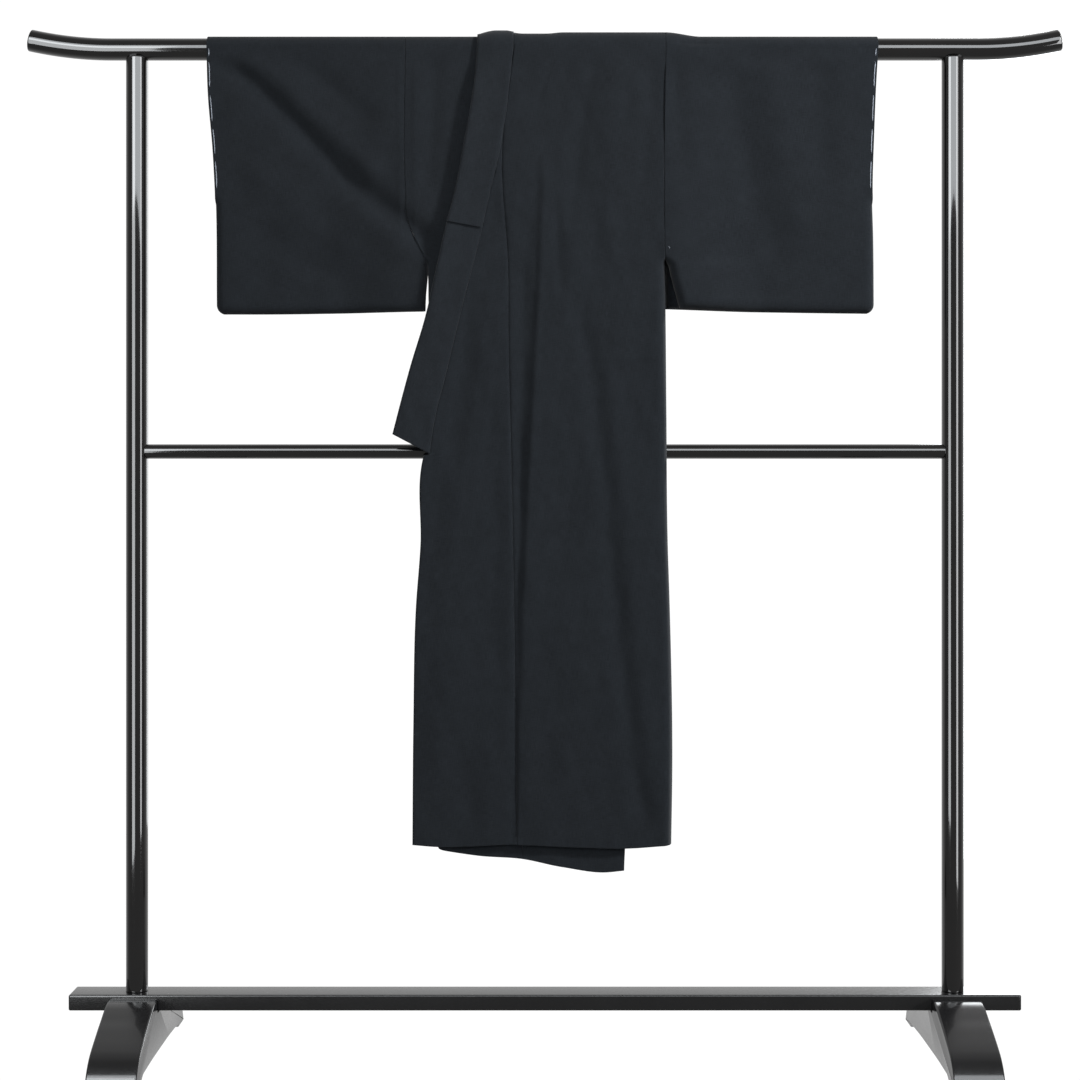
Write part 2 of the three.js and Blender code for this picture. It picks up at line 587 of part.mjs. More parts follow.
function makeRightCollar() {
  const rows = [...rightCollarCourse.slice().reverse(),
    ...crestTurns.slice(0, 5).map((turn) => ({ turn: degToRad(turn) }))];
  const top = rightCollarCourse[0];
  const point = (c, row) => {
    const share = c / collarSteps;
    if (row.turn !== undefined) return onCrest(lerp(top.sewn, top.free, share), row, rodLayers.right);
    return new THREE.Vector3(lerp(row.sewn, row.free, share), layers.frontRight(row.z), row.z);
  };
  return clothWall(collarSteps + 1, rows, point);
}

// Round the back neck the collar stands above the backs and follows their folds.
function makeBackCollar() {
  const stations = [
    ...pleatStations.map((station) => ({ station, side: 1, neckX: garment.neckLeft })),
    ...pleatStations.slice(0, -1).reverse().map((station) => ({ station, side: -1, neckX: garment.neckRight })),
  ];
  const heights = [garment.backNeck + seamGap, 1626, rod.height - 2 * seamGap];
  const point = (c, z) => {
    const { station, side, neckX } = stations[c];
    const place = station.back === 1 ? { back: 1 } : station;
    const at = pleatPoint(place, side, z, neckX);
    return station.back === 1 ? at.setX(meetX) : at;
  };
  return clothWall(stations.length, heights, point);
}

add('body_right', makeBody(-1), cloth);
add('body_left', makeBody(1), cloth);
add('okumi_right', makeOkumi(-1), cloth);
add('okumi_left', makeOkumi(1), cloth);
const collarCloth = { color: collarColour, ...threadlessFinish };
add('collar_right', makeRightCollar(), collarCloth);
add('collar_left', makeLeftCollar(), collarCloth);
add('collar_back', makeBackCollar(), collarCloth);
add('overcollar_left', makeOverCollar(), collarCloth);

export default kimonoOnStand;
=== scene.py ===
"""A man's kimono on a lacquered kimono stand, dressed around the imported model.

Sizes and places are in millimetres here, and become metres as each mesh is made.
+Z is up, +X is to the wearer's left, -Y is the front.
"""
import math

import bpy
import numpy as np
from mathutils.bvhtree import BVHTree
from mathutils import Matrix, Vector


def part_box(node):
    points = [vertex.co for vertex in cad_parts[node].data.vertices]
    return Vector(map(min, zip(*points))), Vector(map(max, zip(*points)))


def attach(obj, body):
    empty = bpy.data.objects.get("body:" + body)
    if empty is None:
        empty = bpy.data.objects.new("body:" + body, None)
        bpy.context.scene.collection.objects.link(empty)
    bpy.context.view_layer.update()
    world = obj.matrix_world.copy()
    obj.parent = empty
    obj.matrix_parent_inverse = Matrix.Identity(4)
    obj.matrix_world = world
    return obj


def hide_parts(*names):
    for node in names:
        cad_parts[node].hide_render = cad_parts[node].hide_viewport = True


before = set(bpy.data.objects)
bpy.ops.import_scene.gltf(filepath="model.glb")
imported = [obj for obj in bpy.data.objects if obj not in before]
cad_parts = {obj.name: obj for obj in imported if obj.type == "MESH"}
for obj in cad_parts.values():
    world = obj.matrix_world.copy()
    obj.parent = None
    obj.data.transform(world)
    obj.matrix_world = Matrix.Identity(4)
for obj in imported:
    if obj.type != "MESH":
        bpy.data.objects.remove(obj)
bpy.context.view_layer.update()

MM = 0.001


# ---- places taken from the frame ----
def box_mm(node):
    low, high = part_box(node)
    return np.array(low) / MM, np.array(high) / MM


def centre_of(node, axis):
    low, high = box_mm(node)
    return (low[axis] + high[axis]) / 2


def half_of(node, axis):
    low, high = box_mm(node)
    return (high[axis] - low[axis]) / 2


X, Y, Z = 0, 1, 2
ROD_RADIUS = half_of("rod", Y)
ROD_Z = box_mm("rod")[0][Z] + ROD_RADIUS
RAIL_RADIUS = half_of("rail", Z)
RAIL_Z = centre_of("rail", Z)
POST_RADIUS = half_of("post_left", Y)

# ---- the kimono's own sizes ----
SEAM_GAP = 0.3
TUCK = 0.6  # how far the panels' edges are turned in under the collar
CLOTH = 1.8
COLLAR = 2.8
OVERCOLLAR = 1.8
NECK_RIGHT, NECK_LEFT = 19.0, -50.0
SLEEVE_BOTTOM, ARMHOLE_END, CUFF_END = 1219.0, 1322.0, 1416.0
BACK_NECK, BACK_HEM, FRONT_HEM, UNDER_HEM = 1598.0, 360.0, 355.0, 312.0
NECK_TO_BACK_SEAM = 89.0
OKUMI_TOP, RIGHT_OKUMI_TOP = 1520.0, 1410.0
COLLAR_SEWN_END, RIGHT_COLLAR_SEWN_END = 985.0, 975.0
RIGHT_FRONT_REACH = 60.0  # the right front's inner edge above its overlap panel goes no further
SLEEVE_WIDTH, BODY_WIDTH, OKUMI_WIDTH = 340.0, 240.0, 150.0
CUFF_CORNER = 14.0
CLOSING_RUN = 13.0
HEM_RUN = 110.0  # above the hem, over which its unevenness fades
LEAN_END = RAIL_Z + 2 * RAIL_RADIUS
ROD_LAYERS = {"sleeve": 19.9, "right": 19.9, "middle": 23.4, "left": 26.9}
RAIL_LAYERS = {"outer_back": -13.3, "middle_back": -17.0, "inner_back": -20.7}
HEM_LAYERS = {"right": -61.0, "left": -71.5}


def reading(*rows):
    """A value read from rows of (place, value), straight between them."""
    rows = sorted(rows)
    places, values = [r[0] for r in rows], [r[1] for r in rows]
    return lambda at: np.interp(at, places, values)


def smooth_reading(*rows):
    """The same, rounded between the rows."""
    rows = sorted(rows)
    places = np.array([r[0] for r in rows], float)
    values = np.array([r[1] for r in rows], float)
    slopes = np.gradient(values, places)

    def read(at):
        at = np.clip(at, places[0], places[-1])
        k = np.clip(np.searchsorted(places, at) - 1, 0, len(places) - 2)
        run = places[k + 1] - places[k]
        t = (at - places[k]) / run
        a, b = values[k], values[k + 1]
        return ((2 * t**3 - 3 * t**2 + 1) * a + (t**3 - 2 * t**2 + t) * run * slopes[k]
                + (-2 * t**3 + 3 * t**2) * b + (t**3 - t**2) * run * slopes[k + 1])
    return read


def smoothstep(low, high, at):
    t = np.clip((at - low) / (high - low), 0, 1)
    return t * t * (3 - 2 * t)


def lerp(a, b, t):
    return a + (b - a) * t


def leaning(at_rod, at_end, end=LEAN_END):
    return lambda z: lerp(at_rod, at_end, np.clip((ROD_Z - z) / (ROD_Z - end), 0, 1))


front_left = leaning(-ROD_LAYERS["left"], HEM_LAYERS["left"], UNDER_HEM)
front_right = leaning(-ROD_LAYERS["right"], HEM_LAYERS["right"], UNDER_HEM)
back_outer = leaning(ROD_LAYERS["left"], RAIL_LAYERS["outer_back"])
back_middle = leaning(ROD_LAYERS["middle"], RAIL_LAYERS["middle_back"])
back_inner = leaning(ROD_LAYERS["right"], RAIL_LAYERS["inner_back"])

# Where the edges and seams run: each row a height and the x there.
side_left = smooth_reading((1655, 198), (1537, 195.5), (1324, 195.5), (1229, 197), (1072, 198), (839, 200),
                           (740, 203), (485, 207), (355, 205))
side_right = smooth_reading((1655, -229), (1420, -228), (1368, -224), (1335, -210), (1305, -195.5),
                            (1285, -192), (1240, -190.5), (1000, -190), (600, -182), (342, -173))
seam_left = smooth_reading((1655, -50), (1476, -70), (1296, -60), (1173, -59), (961, -54), (750, -50),
                           (355, -45))
seam_right = smooth_reading((1655, 19), (1432, 30), (1000, 0), (320, -37))

# The left collar: height, x of its free edge, x of its sewn edge, how much lower the sewn edge runs.
COLLAR_COURSE = [
    (1655, -111, -51, 0), (1600, -115, -57, 0), (1540, -124, -64, 2), (1480, -135, -75, 5),
    (1420, -146, -90, 8), (1366, -160, -102, 10), (1290, -177, -122, 14), (1210, -195, -143, 18),
    (1130, -219, -163, 22), (1070, -235, -179, 27), (1019, -248, -187, 32),
]
collar_levels, *collar_courses = zip(*COLLAR_COURSE)
collar_free, collar_sewn_level, collar_drop = [
    smooth_reading(*zip(collar_levels, course)) for course in collar_courses]
collar_sewn = smooth_reading(*[(z - drop, sewn) for z, free, sewn, drop in COLLAR_COURSE])
OVERCOLLAR_END = 1366.0
COLLAR_END = 1019.0
free_edge_left = smooth_reading((1019, -187), (976, -199), (839, -202), (740, -209), (551, -213),
                                (355, -214))
free_edge_right = smooth_reading((975, 139), (940, 146), (305, 128))
RIGHT_COLLAR_COURSE = [(1655, 20, 78), (1480, 40, 98), (1366, 62, 119), (1210, 95, 150), (1090, 121, 175),
                       (975, 140, 186)]
right_collar_sewn = reading(*[(z, sewn) for z, sewn, free in RIGHT_COLLAR_COURSE])
right_collar_free = reading(*[(z, free) for z, sewn, free in RIGHT_COLLAR_COURSE])
front_hem_drop = smooth_reading((-215, 0), (-174, 3), (-45, 0), (48, 4), (127, 6), (206, 1))
under_hem_drop = smooth_reading((-173, -34), (-109, -24), (-37, -19), (27, -6), (95, 3), (128, 0))
cuff_right = smooth_reading((1655, -555), (1575, -553), (1488, -546), (1414, -542), (1229, -540))
cuff_left = smooth_reading((1655, 547), (1593, 543.5), (1505, 540.5), (1424, 538.5), (1344, 540.5),
                           (1229, 541.5))
# How much higher than its nominal height each sleeve's lower edge stands, by distance from the middle.
sleeve_bottom_rise = {-1: smooth_reading((200, 2.5), (330, 1), (440, -0.5), (545, -0.5)),
                      1: smooth_reading((200, 6.5), (300, 4), (420, 2), (545, 0.5))}
# The sleeves' inner edges hang free below the armhole: by side, and in front (-1) or behind (1).
sleeve_free_edge = {
    (-1, -1): smooth_reading((1330, -194), (1290, -192), (1238, -195.5), (1219, -196)),
    (-1, 1): lambda z: -199,
    (1, -1): smooth_reading((1330, 199), (1300, 202), (1219, 221)),
    (1, 1): lambda z: side_left(z) + SEAM_GAP,
}
sleeve_half_depth = smooth_reading((1655, 19.3), (1500, 15), (1219, 13))


# ---- folds: each a line of (x, z) over which the cloth stands out or falls in ----
def beside(x, z, line):
    """How far aside of the line each place is, below 0 on its left, and its share of the line's length."""
    points = np.array(line, float)
    runs = np.diff(points, axis=0)
    lengths = np.hypot(runs[:, 0], runs[:, 1])
    starts = np.concatenate([[0], np.cumsum(lengths)])
    nearest, aside, along = np.full(np.shape(x), np.inf), np.zeros(np.shape(x)), np.zeros(np.shape(x))
    for start, run, length, before in zip(points, runs / lengths[:, None], lengths, starts):
        dx, dz = x - start[0], z - start[1]
        foot = np.clip(dx * run[0] + dz * run[1], 0, length)
        off = np.hypot(dx - foot * run[0], dz - foot * run[1])
        nearer = off < nearest
        nearest = np.where(nearer, off, nearest)
        aside = np.where(nearer, np.copysign(off, dx * run[1] - dz * run[0]), aside)
        along = np.where(nearer, before + foot, along)
    return aside, along / starts[-1]


def fold_soft(aside, width):
    return np.exp(-(aside / width) ** 2)


def fold_crease(aside, width):
    return np.exp(-np.abs(aside) / width)


def fold_lap(aside, width):
    """Steep on the left of the line, dying away slowly on its right."""
    return np.where(aside > 0, np.exp(-aside / width), np.exp(-(aside / (0.2 * width)) ** 2))


def folded(x, z, folds):
    """Sum of the folds' heights: rise above 0 stands out. Ends are the shares over which it dies away."""
    height = np.zeros(np.broadcast(x, z).shape)
    x, z = np.broadcast_to(x, height.shape), np.broadcast_to(z, height.shape)
    for profile, rise, width, (first, last), line in folds:
        aside, share = beside(x, z, line)
        fade = np.ones(height.shape)
        if first:
            fade = fade * smoothstep(0, first, share)
        if last:
            fade = fade * (1 - smoothstep(1 - last, 1, share))
        height += rise * profile(aside, width) * fade
    return height


def sway(x, z, seed, rise, across=150.0, down=520.0):
    """The slow unevenness of hanging cloth: long waves, more upright than level."""
    chance = np.random.RandomState(seed)
    height = np.zeros(np.broadcast(x, z).shape)
    for _ in range(7):
        kx = 2 * math.pi / (across * chance.uniform(0.45, 1.6)) * chance.choice([-1, 1])
        kz = 2 * math.pi / (down * chance.uniform(0.4, 1.7))
        height += np.sin(kx * x + kz * z + chance.uniform(0, 2 * math.pi)) * chance.uniform(0.4, 1)
    return rise * height / 3


def pucker(distance, along, rise=0.28, pitch=17.0):
    """A seam draws the cloth beside it into small ripples."""
    wave = np.sin(2 * math.pi * along / pitch + 1.7 * np.sin(along / 41.0))
    return rise * wave * np.exp(-(distance / 9.0) ** 2)


# ---- cloth walls: a middle surface on a grid, given two faces and a rounded rim ----
COLLECTION = bpy.context.scene.collection
EDGE_STEPS = (0, 0.7, 1.8, 3.4, 5.5, 8.5, 13.0)
FRONT_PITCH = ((4.2, 4.6))
BACK_PITCH = 9.0
EDGE_ZONE = 8.0  # above a bottom edge, where the rows lie closer
RIM_INSET, RIM_FACE = 0.3, 0.36  # shares of the thickness that round the rim
LOWER, UPPER = slice(None, -1), slice(1, None)
CELL_CORNERS = ((LOWER, LOWER), (LOWER, UPPER), (UPPER, UPPER), (UPPER, LOWER))


def added(name, data):
    obj = bpy.data.objects.new(name, data)
    COLLECTION.objects.link(obj)
    return obj


def mesh_object(name, points, faces, uvs=None):
    mesh = bpy.data.meshes.new(name)
    mesh.from_pydata((np.asarray(points) * MM).tolist(), [], [list(map(int, face)) for face in faces])
    if uvs is not None:
        layer = mesh.uv_layers.new(name="cloth_length")
        corners = np.array([loop.vertex_index for loop in mesh.loops])
        layer.data.foreach_set("uv", (np.asarray(uvs)[corners] * MM).ravel())
    mesh.validate()
    mesh.update()
    return added(name, mesh)


def smooth(obj):
    obj.data.polygons.foreach_set("use_smooth", [True] * len(obj.data.polygons))
    obj.data.update()


def unit(vectors):
    return vectors / np.maximum(np.linalg.norm(vectors, axis=-1, keepdims=True), 1e-9)


def grid_normals(grid, covered):
    """Normals of the covered grid, taken from the corners' neighbours that the cloth reaches."""
    a, b = grid[:-1, :-1], grid[:-1, 1:]
    c, d = grid[1:, 1:], grid[1:, :-1]
    cell = np.cross(b - a, d - a) + np.cross(d - c, b - c)
    cell = cell * covered[..., None]
    normals = np.zeros_like(grid)
    for rows, columns in CELL_CORNERS:
        normals[rows, columns] += cell
    return unit(normals)


def cloth_wall(name, grid, thickness, covered=None):
    """A wall about the grid's surface; `covered` says which of its cells have cloth."""
    height, width = grid.shape[:2]
    if covered is None:
        covered = np.ones((height - 1, width - 1), bool)
    normals = grid_normals(grid, covered)
    meeting = np.zeros((height, width), int)
    middles = np.zeros_like(grid)
    centres = (grid[:-1, :-1] + grid[:-1, 1:] + grid[1:, 1:] + grid[1:, :-1]) / 4
    for rows, columns in CELL_CORNERS:
        meeting[rows, columns] += covered
        middles[rows, columns] += centres * covered[..., None]
    rim = (meeting > 0) & (meeting < len(CELL_CORNERS))
    middles = middles / np.maximum(meeting, 1)[..., None]
    inward = middles - grid
    inward -= normals * np.sum(inward * normals, axis=-1, keepdims=True)
    room = 0.45 * np.linalg.norm(inward, axis=-1)
    inward = unit(inward) * np.minimum(RIM_INSET * thickness, room)[..., None]
    reach = np.where(rim, RIM_FACE, 0.5)[..., None] * thickness * normals
    drawn = grid + np.where(rim[..., None], inward, 0)
    index = np.arange(height * width).reshape(height, width)
    a, b = index[:-1, :-1][covered], index[:-1, 1:][covered]
    c, d = index[1:, 1:][covered], index[1:, :-1][covered]
    count = height * width
    upper = np.stack([a, b, c, d], 1)
    lower = np.stack([d, c, b, a], 1) + count
    padded = np.zeros((height + 1, width + 1), bool)
    padded[1:-1, 1:-1] = covered
    edges = []
    for neighbours, first, last in (
            (padded[:-2, 1:-1], index[:-1, :-1], index[:-1, 1:]),
            (padded[1:-1, 2:], index[:-1, 1:], index[1:, 1:]),
            (padded[2:, 1:-1], index[1:, 1:], index[1:, :-1]),
            (padded[1:-1, :-2], index[1:, :-1], index[:-1, :-1])):
        open_side = covered & ~neighbours
        edges.append(np.stack([first[open_side], last[open_side]], 1))
    edges = np.concatenate(edges)
    first, last = edges[:, 0], edges[:, 1]
    outer = np.stack([last, first, first + 2 * count, last + 2 * count], 1)
    inner = np.stack([last + 2 * count, first + 2 * count, first + count, last + count], 1)
    faces = np.concatenate([upper, lower, outer, inner])
    points = np.concatenate([(drawn + reach).reshape(-1, 3), (drawn - reach).reshape(-1, 3),
                             grid.reshape(-1, 3)])
    across = np.concatenate([np.zeros((height, 1)), np.cumsum(np.linalg.norm(
        np.diff(grid, axis=1), axis=-1), axis=1)], axis=1)
    down = np.concatenate([[0], np.cumsum(np.linalg.norm(np.diff(grid[:, width // 2], axis=0), axis=-1))])
    lengths = np.stack([across, np.repeat(down[:, None], width, axis=1)], -1).reshape(-1, 2)
    uvs = np.tile(lengths, (3, 1))
    used = np.unique(faces)
    renumber = np.zeros(len(points), int)
    renumber[used] = np.arange(len(used))
    obj = mesh_object(name, points[used], renumber[faces], uvs[used])
    smooth(obj)
    return obj


class Row:
    """One line of a wall: its height on the front (side -1) or back (1), or its turn over the rod (0)."""

    def __init__(self, side, z, turn=0.0):
        self.side, self.z, self.turn = side, z, turn


def levels(bottom, top, pitch, marks=()):
    """Heights from bottom to top about a pitch apart, closer at the bottom edge, the marks among them."""
    plain = np.linspace(bottom, top, max(2, int(round((top - bottom) / pitch)) + 1))
    fine = [bottom + step for step in EDGE_STEPS[1:5]]
    kept = [z for z in plain if z == bottom or z > bottom + EDGE_ZONE]
    kept = [z for z in kept if all(abs(z - mark) > 0.3 * pitch for mark in marks)]
    return sorted(set(kept + fine + list(marks)))


def over_rod(front, back, step=9.0):
    """Rows up the front, over the rod every `step` degrees, and down the back."""
    turns = np.radians(np.arange(-90 + step, 90, step))
    return ([Row(-1, z) for z in front] + [Row(0, ROD_Z, turn) for turn in turns]
            + [Row(1, z) for z in sorted(back, reverse=True)])


def spread(start, end, count, first_edge=True, last_edge=True):
    """Places from start to end: close together at the sewn edges and even between them."""
    way = 1 if end > start else -1
    head = [start + way * step for step in (EDGE_STEPS if first_edge else (0,))]
    tail = [end - way * step for step in reversed(EDGE_STEPS if last_edge else (0,))]
    middle = np.linspace(head[-1], tail[0], count + 2)[1:-1]
    return np.concatenate([head, middle, tail])


def crest(x, radius, turn):
    """A row that lies over the rod, at a radius and a turn about its axis, 0 on top."""
    return np.stack([x, radius * np.sin(turn) + 0 * x, ROD_Z + radius * np.cos(turn) + 0 * x], -1)


def closing(distance, run=CLOSING_RUN):
    """Two walls sewn edge to edge round towards each other: 0 at the edge, 1 past the run."""
    return np.sqrt(np.clip(1 - (1 - np.clip(distance, 0, run) / run) ** 2, 0, 1))


def side_sewn(z):
    """0 beside the armhole, 1 below it, where the side is sewn."""
    return 1 - smoothstep(ARMHOLE_END - 26, ARMHOLE_END - 12, z)


def free_of_rod(z):
    """0 where the cloth lies on the rod, 1 where it hangs free."""
    return smoothstep(8, 46, ROD_Z - z)


# ---- where the folds lie; a lap is steep on the viewer's left where its line runs upwards ----
MIDDLE_FOLD = [(-44, 350), (-42, 418), (-40, 485), (-40, 551), (-37, 616), (-35, 683), (-35, 740),
               (-31, 807), (-28, 873), (-25, 938), (-22, 1012), (-19, 1052), (-16, 1105), (-12, 1172),
               (-9, 1229), (-6, 1296), (-5, 1347), (-1, 1424), (-4, 1485), (-4, 1540)]
LEFT_FRONT_FOLDS = [
    (fold_lap, 3.0, 30, (0, 0.14), MIDDLE_FOLD),
    (fold_crease, 1.3, 4, (0, 0.25), MIDDLE_FOLD),
    (fold_crease, -1.2, 5, (0.2, 0.2), [(-124, 1527), (-104, 1523), (-86, 1524)]),
    (fold_soft, -3.8, 12, (0.02, 0.2), [(-47, 350), (-43, 616), (-41, 850), (-38, 1050), (-34, 1230),
                                        (-33, 1420)]),
    (fold_soft, -2.2, 18, (0.2, 0.2), [(-74, 400), (-78, 800), (-88, 1150)]),
    (fold_soft, -3.6, 16, (0.1, 0.12), [(166, 355), (159, 408), (144, 486), (127, 641), (116, 745),
                                        (104, 875), (94, 978), (78, 1105), (68, 1155), (52, 1260)]),
    (fold_soft, 2.4, 20, (0.1, 0.2), [(186, 380), (160, 560), (142, 720), (128, 900), (112, 1060),
                                      (96, 1180)]),
    (fold_soft, -2.2, 9, (0.2, 0.3), [(14, 1440), (21, 1340), (26, 1220)]),
    (fold_soft, -2.6, 15, (0.2, 0.2), [(-154, 940), (-147, 1002), (-125, 1190), (-112, 1280)]),
    (fold_soft, 2.2, 22, (0.15, 0.2), [(-176, 420), (-168, 640), (-152, 860), (-134, 1040)]),
    (fold_soft, -1.8, 24, (0.1, 0.2), [(-120, 370), (-116, 560), (-104, 780)]),
    (fold_lap, 0.9, 9, (0.04, 0.04), [(196, 1142), (96, 1141), (-2, 1143)]),
    (fold_crease, -0.8, 4, (0.2, 0.2), [(-104, 1021), (-80, 1019), (-55, 1020)]),
    (fold_crease, -0.7, 5, (0.1, 0.1), [(-205, 706), (-130, 703), (-55, 705)]),
    (fold_crease, 0.6, 6, (0.1, 0.1), [(-40, 703), (60, 706), (202, 702)]),
    (fold_crease, -2.0, 7, (0.05, 0.4), [(21, 1658), (12, 1630), (-5, 1583), (-14, 1530)]),
    (fold_soft, -2.4, 15, (0.05, 0.3), [(88, 1650), (64, 1560), (50, 1450), (46, 1340)]),
    (fold_soft, 2.2, 19, (0.05, 0.3), [(126, 1650), (112, 1540), (104, 1400), (108, 1250)]),
    (fold_soft, -2.0, 16, (0.05, 0.3), [(176, 1650), (166, 1500), (158, 1380)]),
]
LEFT_SLEEVE_FOLDS = [
    (fold_soft, -3.0, 17, (0.05, 0.25), [(230, 1660), (217, 1633), (214, 1591), (222, 1500), (240, 1400)]),
    (fold_crease, -1.0, 6, (0.05, 0.3), [(230, 1660), (217, 1633), (214, 1591), (216, 1550)]),
    (fold_soft, -3.0, 26, (0.1, 0.2), [(300, 1640), (318, 1520), (350, 1390), (396, 1270)]),
    (fold_soft, 2.6, 28, (0.1, 0.2), [(372, 1650), (384, 1520), (412, 1390), (452, 1290)]),
    (fold_soft, -2.6, 24, (0.1, 0.25), [(452, 1640), (448, 1530), (462, 1420)]),
    (fold_soft, -2.0, 20, (0.2, 0.2), [(236, 1300), (330, 1330), (430, 1372)]),
    (fold_crease, 0.8, 6, (0.1, 0.1), [(212, 1240), (330, 1236), (470, 1240)]),
]
RIGHT_SLEEVE_FOLDS = [
    (fold_soft, -8.5, 20, (0.04, 0), [(-540, 1652), (-448, 1569), (-359, 1478), (-299, 1418), (-231, 1368),
                                      (-174, 1323)]),
    (fold_soft, 4.2, 20, (0.05, 0.1), [(-500, 1652), (-410, 1572), (-322, 1488), (-262, 1430)]),
    (fold_crease, 1.3, 7, (0.1, 0.2), [(-516, 1652), (-428, 1572), (-342, 1484), (-284, 1430)]),
    (fold_soft, -3.2, 19, (0.1, 0.2), [(-420, 1652), (-340, 1580), (-268, 1520)]),
    (fold_soft, 2.6, 24, (0.2, 0.2), [(-520, 1480), (-440, 1420), (-350, 1340), (-280, 1290)]),
    (fold_soft, -2.4, 22, (0.2, 0.2), [(-500, 1380), (-400, 1310), (-310, 1256)]),
    (fold_crease, 1.1, 3, (0.05, 0.05), [(-236, 1330), (-237, 1480), (-238, 1650)]),
]
RIGHT_BODY_FOLDS = [
    (fold_soft, -8.5, 18, (0, 0.2), [(-299, 1418), (-231, 1368), (-174, 1323), (-140, 1298)]),
    (fold_crease, 1.1, 3, (0.05, 0.05), [(-212, 1330), (-212, 1480), (-213, 1650)]),
    (fold_soft, -3.0, 15, (0.05, 0.2), [(-180, 1650), (-184, 1520), (-196, 1400)]),
    (fold_soft, -2.6, 16, (0.1, 0.1), [(-126, 300), (-120, 500), (-104, 760), (-96, 1000)]),
    (fold_soft, 2.4, 18, (0.1, 0.1), [(-70, 300), (-62, 560), (-40, 820)]),
    (fold_soft, -2.2, 14, (0.1, 0.2), [(40, 300), (48, 520), (66, 800)]),
]
BACK_FOLDS = [
    (fold_soft, -3.4, 16, (0.05, 0.1), [(158, 360), (150, 640), (132, 900), (110, 1180), (92, 1420),
                                        (80, 1600)]),
    (fold_soft, 2.8, 20, (0.05, 0.1), [(120, 360), (110, 660), (92, 960), (70, 1240)]),
    (fold_soft, -2.6, 15, (0.05, 0.15), [(40, 360), (34, 620), (22, 900), (10, 1150)]),
    (fold_soft, -3.2, 17, (0.05, 0.1), [(-150, 360), (-140, 660), (-120, 960), (-104, 1240), (-96, 1560)]),
    (fold_soft, 2.6, 18, (0.05, 0.2), [(-112, 360), (-104, 640), (-86, 920)]),
    (fold_lap, 0.9, 9, (0.04, 0.04), [(196, 1142), (96, 1141), (-4, 1143)]),
    (fold_lap, 0.9, 9, (0.04, 0.04), [(-20, 1143), (-110, 1141), (-192, 1143)]),
    (fold_soft, -2.4, 12, (0.05, 0.3), [(28, 1650), (46, 1560), (58, 1440)]),
    (fold_soft, -2.4, 12, (0.05, 0.3), [(-60, 1650), (-84, 1560), (-100, 1440)]),
    (fold_crease, -1.6, 6, (0.05, 0.3), [(204, 1650), (190, 1570), (184, 1480)]),
]
SLEEVE_BACK_FOLDS = [
    (fold_soft, -4.2, 20, (0.05, 0.1), [(250, 1640), (312, 1540), (372, 1420), (420, 1290)]),
    (fold_soft, 3.0, 24, (0.05, 0.1), [(320, 1650), (384, 1540), (440, 1420)]),
    (fold_soft, -2.8, 22, (0.1, 0.1), [(440, 1650), (470, 1520), (490, 1400)]),
    (fold_soft, -2.4, 20, (0.2, 0.1), [(230, 1420), (300, 1330), (356, 1250)]),
]


def left_relief(x, z):
    """How far the left front stands out of its plane; its panels and collar share it."""
    from_seam = np.abs(x - seam_left(z))
    seam = (pucker(from_seam, z) - 1.4 * np.exp(-(from_seam / 2.2) ** 2)) * (z < OKUMI_TOP)
    hang = sway(x, z, 4, 1.5) + sway(x, z, 9, 0.5, 46, 150)
    return (folded(x, z, LEFT_FRONT_FOLDS) + hang + seam) * free_of_rod(z)


def free_edge_lift(x, z):
    """Near the rod the collar's free edge lies close on the right front; below, it stands off it."""
    from_edge = x - collar_free(np.maximum(z, COLLAR_END))
    sunk = 4.6 * (1 - smoothstep(0, 30, from_edge)) * smoothstep(ROD_Z - 60, ROD_Z, z)
    raised = 3.0 * (1 - smoothstep(0, 34, from_edge)) * smoothstep(COLLAR_END + 60, 1260, z)
    return raised * (1 - smoothstep(ROD_Z - 110, ROD_Z - 20, z)) - sunk


def shoulder_dip(x, turn):
    """The left shoulder lies lower beside the neck, where no right shoulder is under it."""
    return 2.2 * (1 - smoothstep(2, 30, x)) * smoothstep(-58, -36, x) * np.cos(turn) ** 2


def collar_dip(x, turn):
    """Over the rod the collar's two edges lie lower than its middle."""
    from_sewn = collar_sewn_level(ROD_Z) - x
    from_free = x - collar_free(ROD_Z)
    at_edges = 1.9 * (1 - smoothstep(0, 12, from_sewn)) + 1.6 * (1 - smoothstep(0, 14, from_free))
    return at_edges * np.cos(turn) ** 2


def right_relief(x, z):
    return (folded(x, z, RIGHT_BODY_FOLDS) + sway(x, z, 12, 1.2)) * free_of_rod(z)


def back_relief(x, z):
    return (folded(x, z, BACK_FOLDS) + sway(x, z, 21, 1.6) + sway(x, z, 27, 0.4, 50, 160)) * free_of_rod(z)


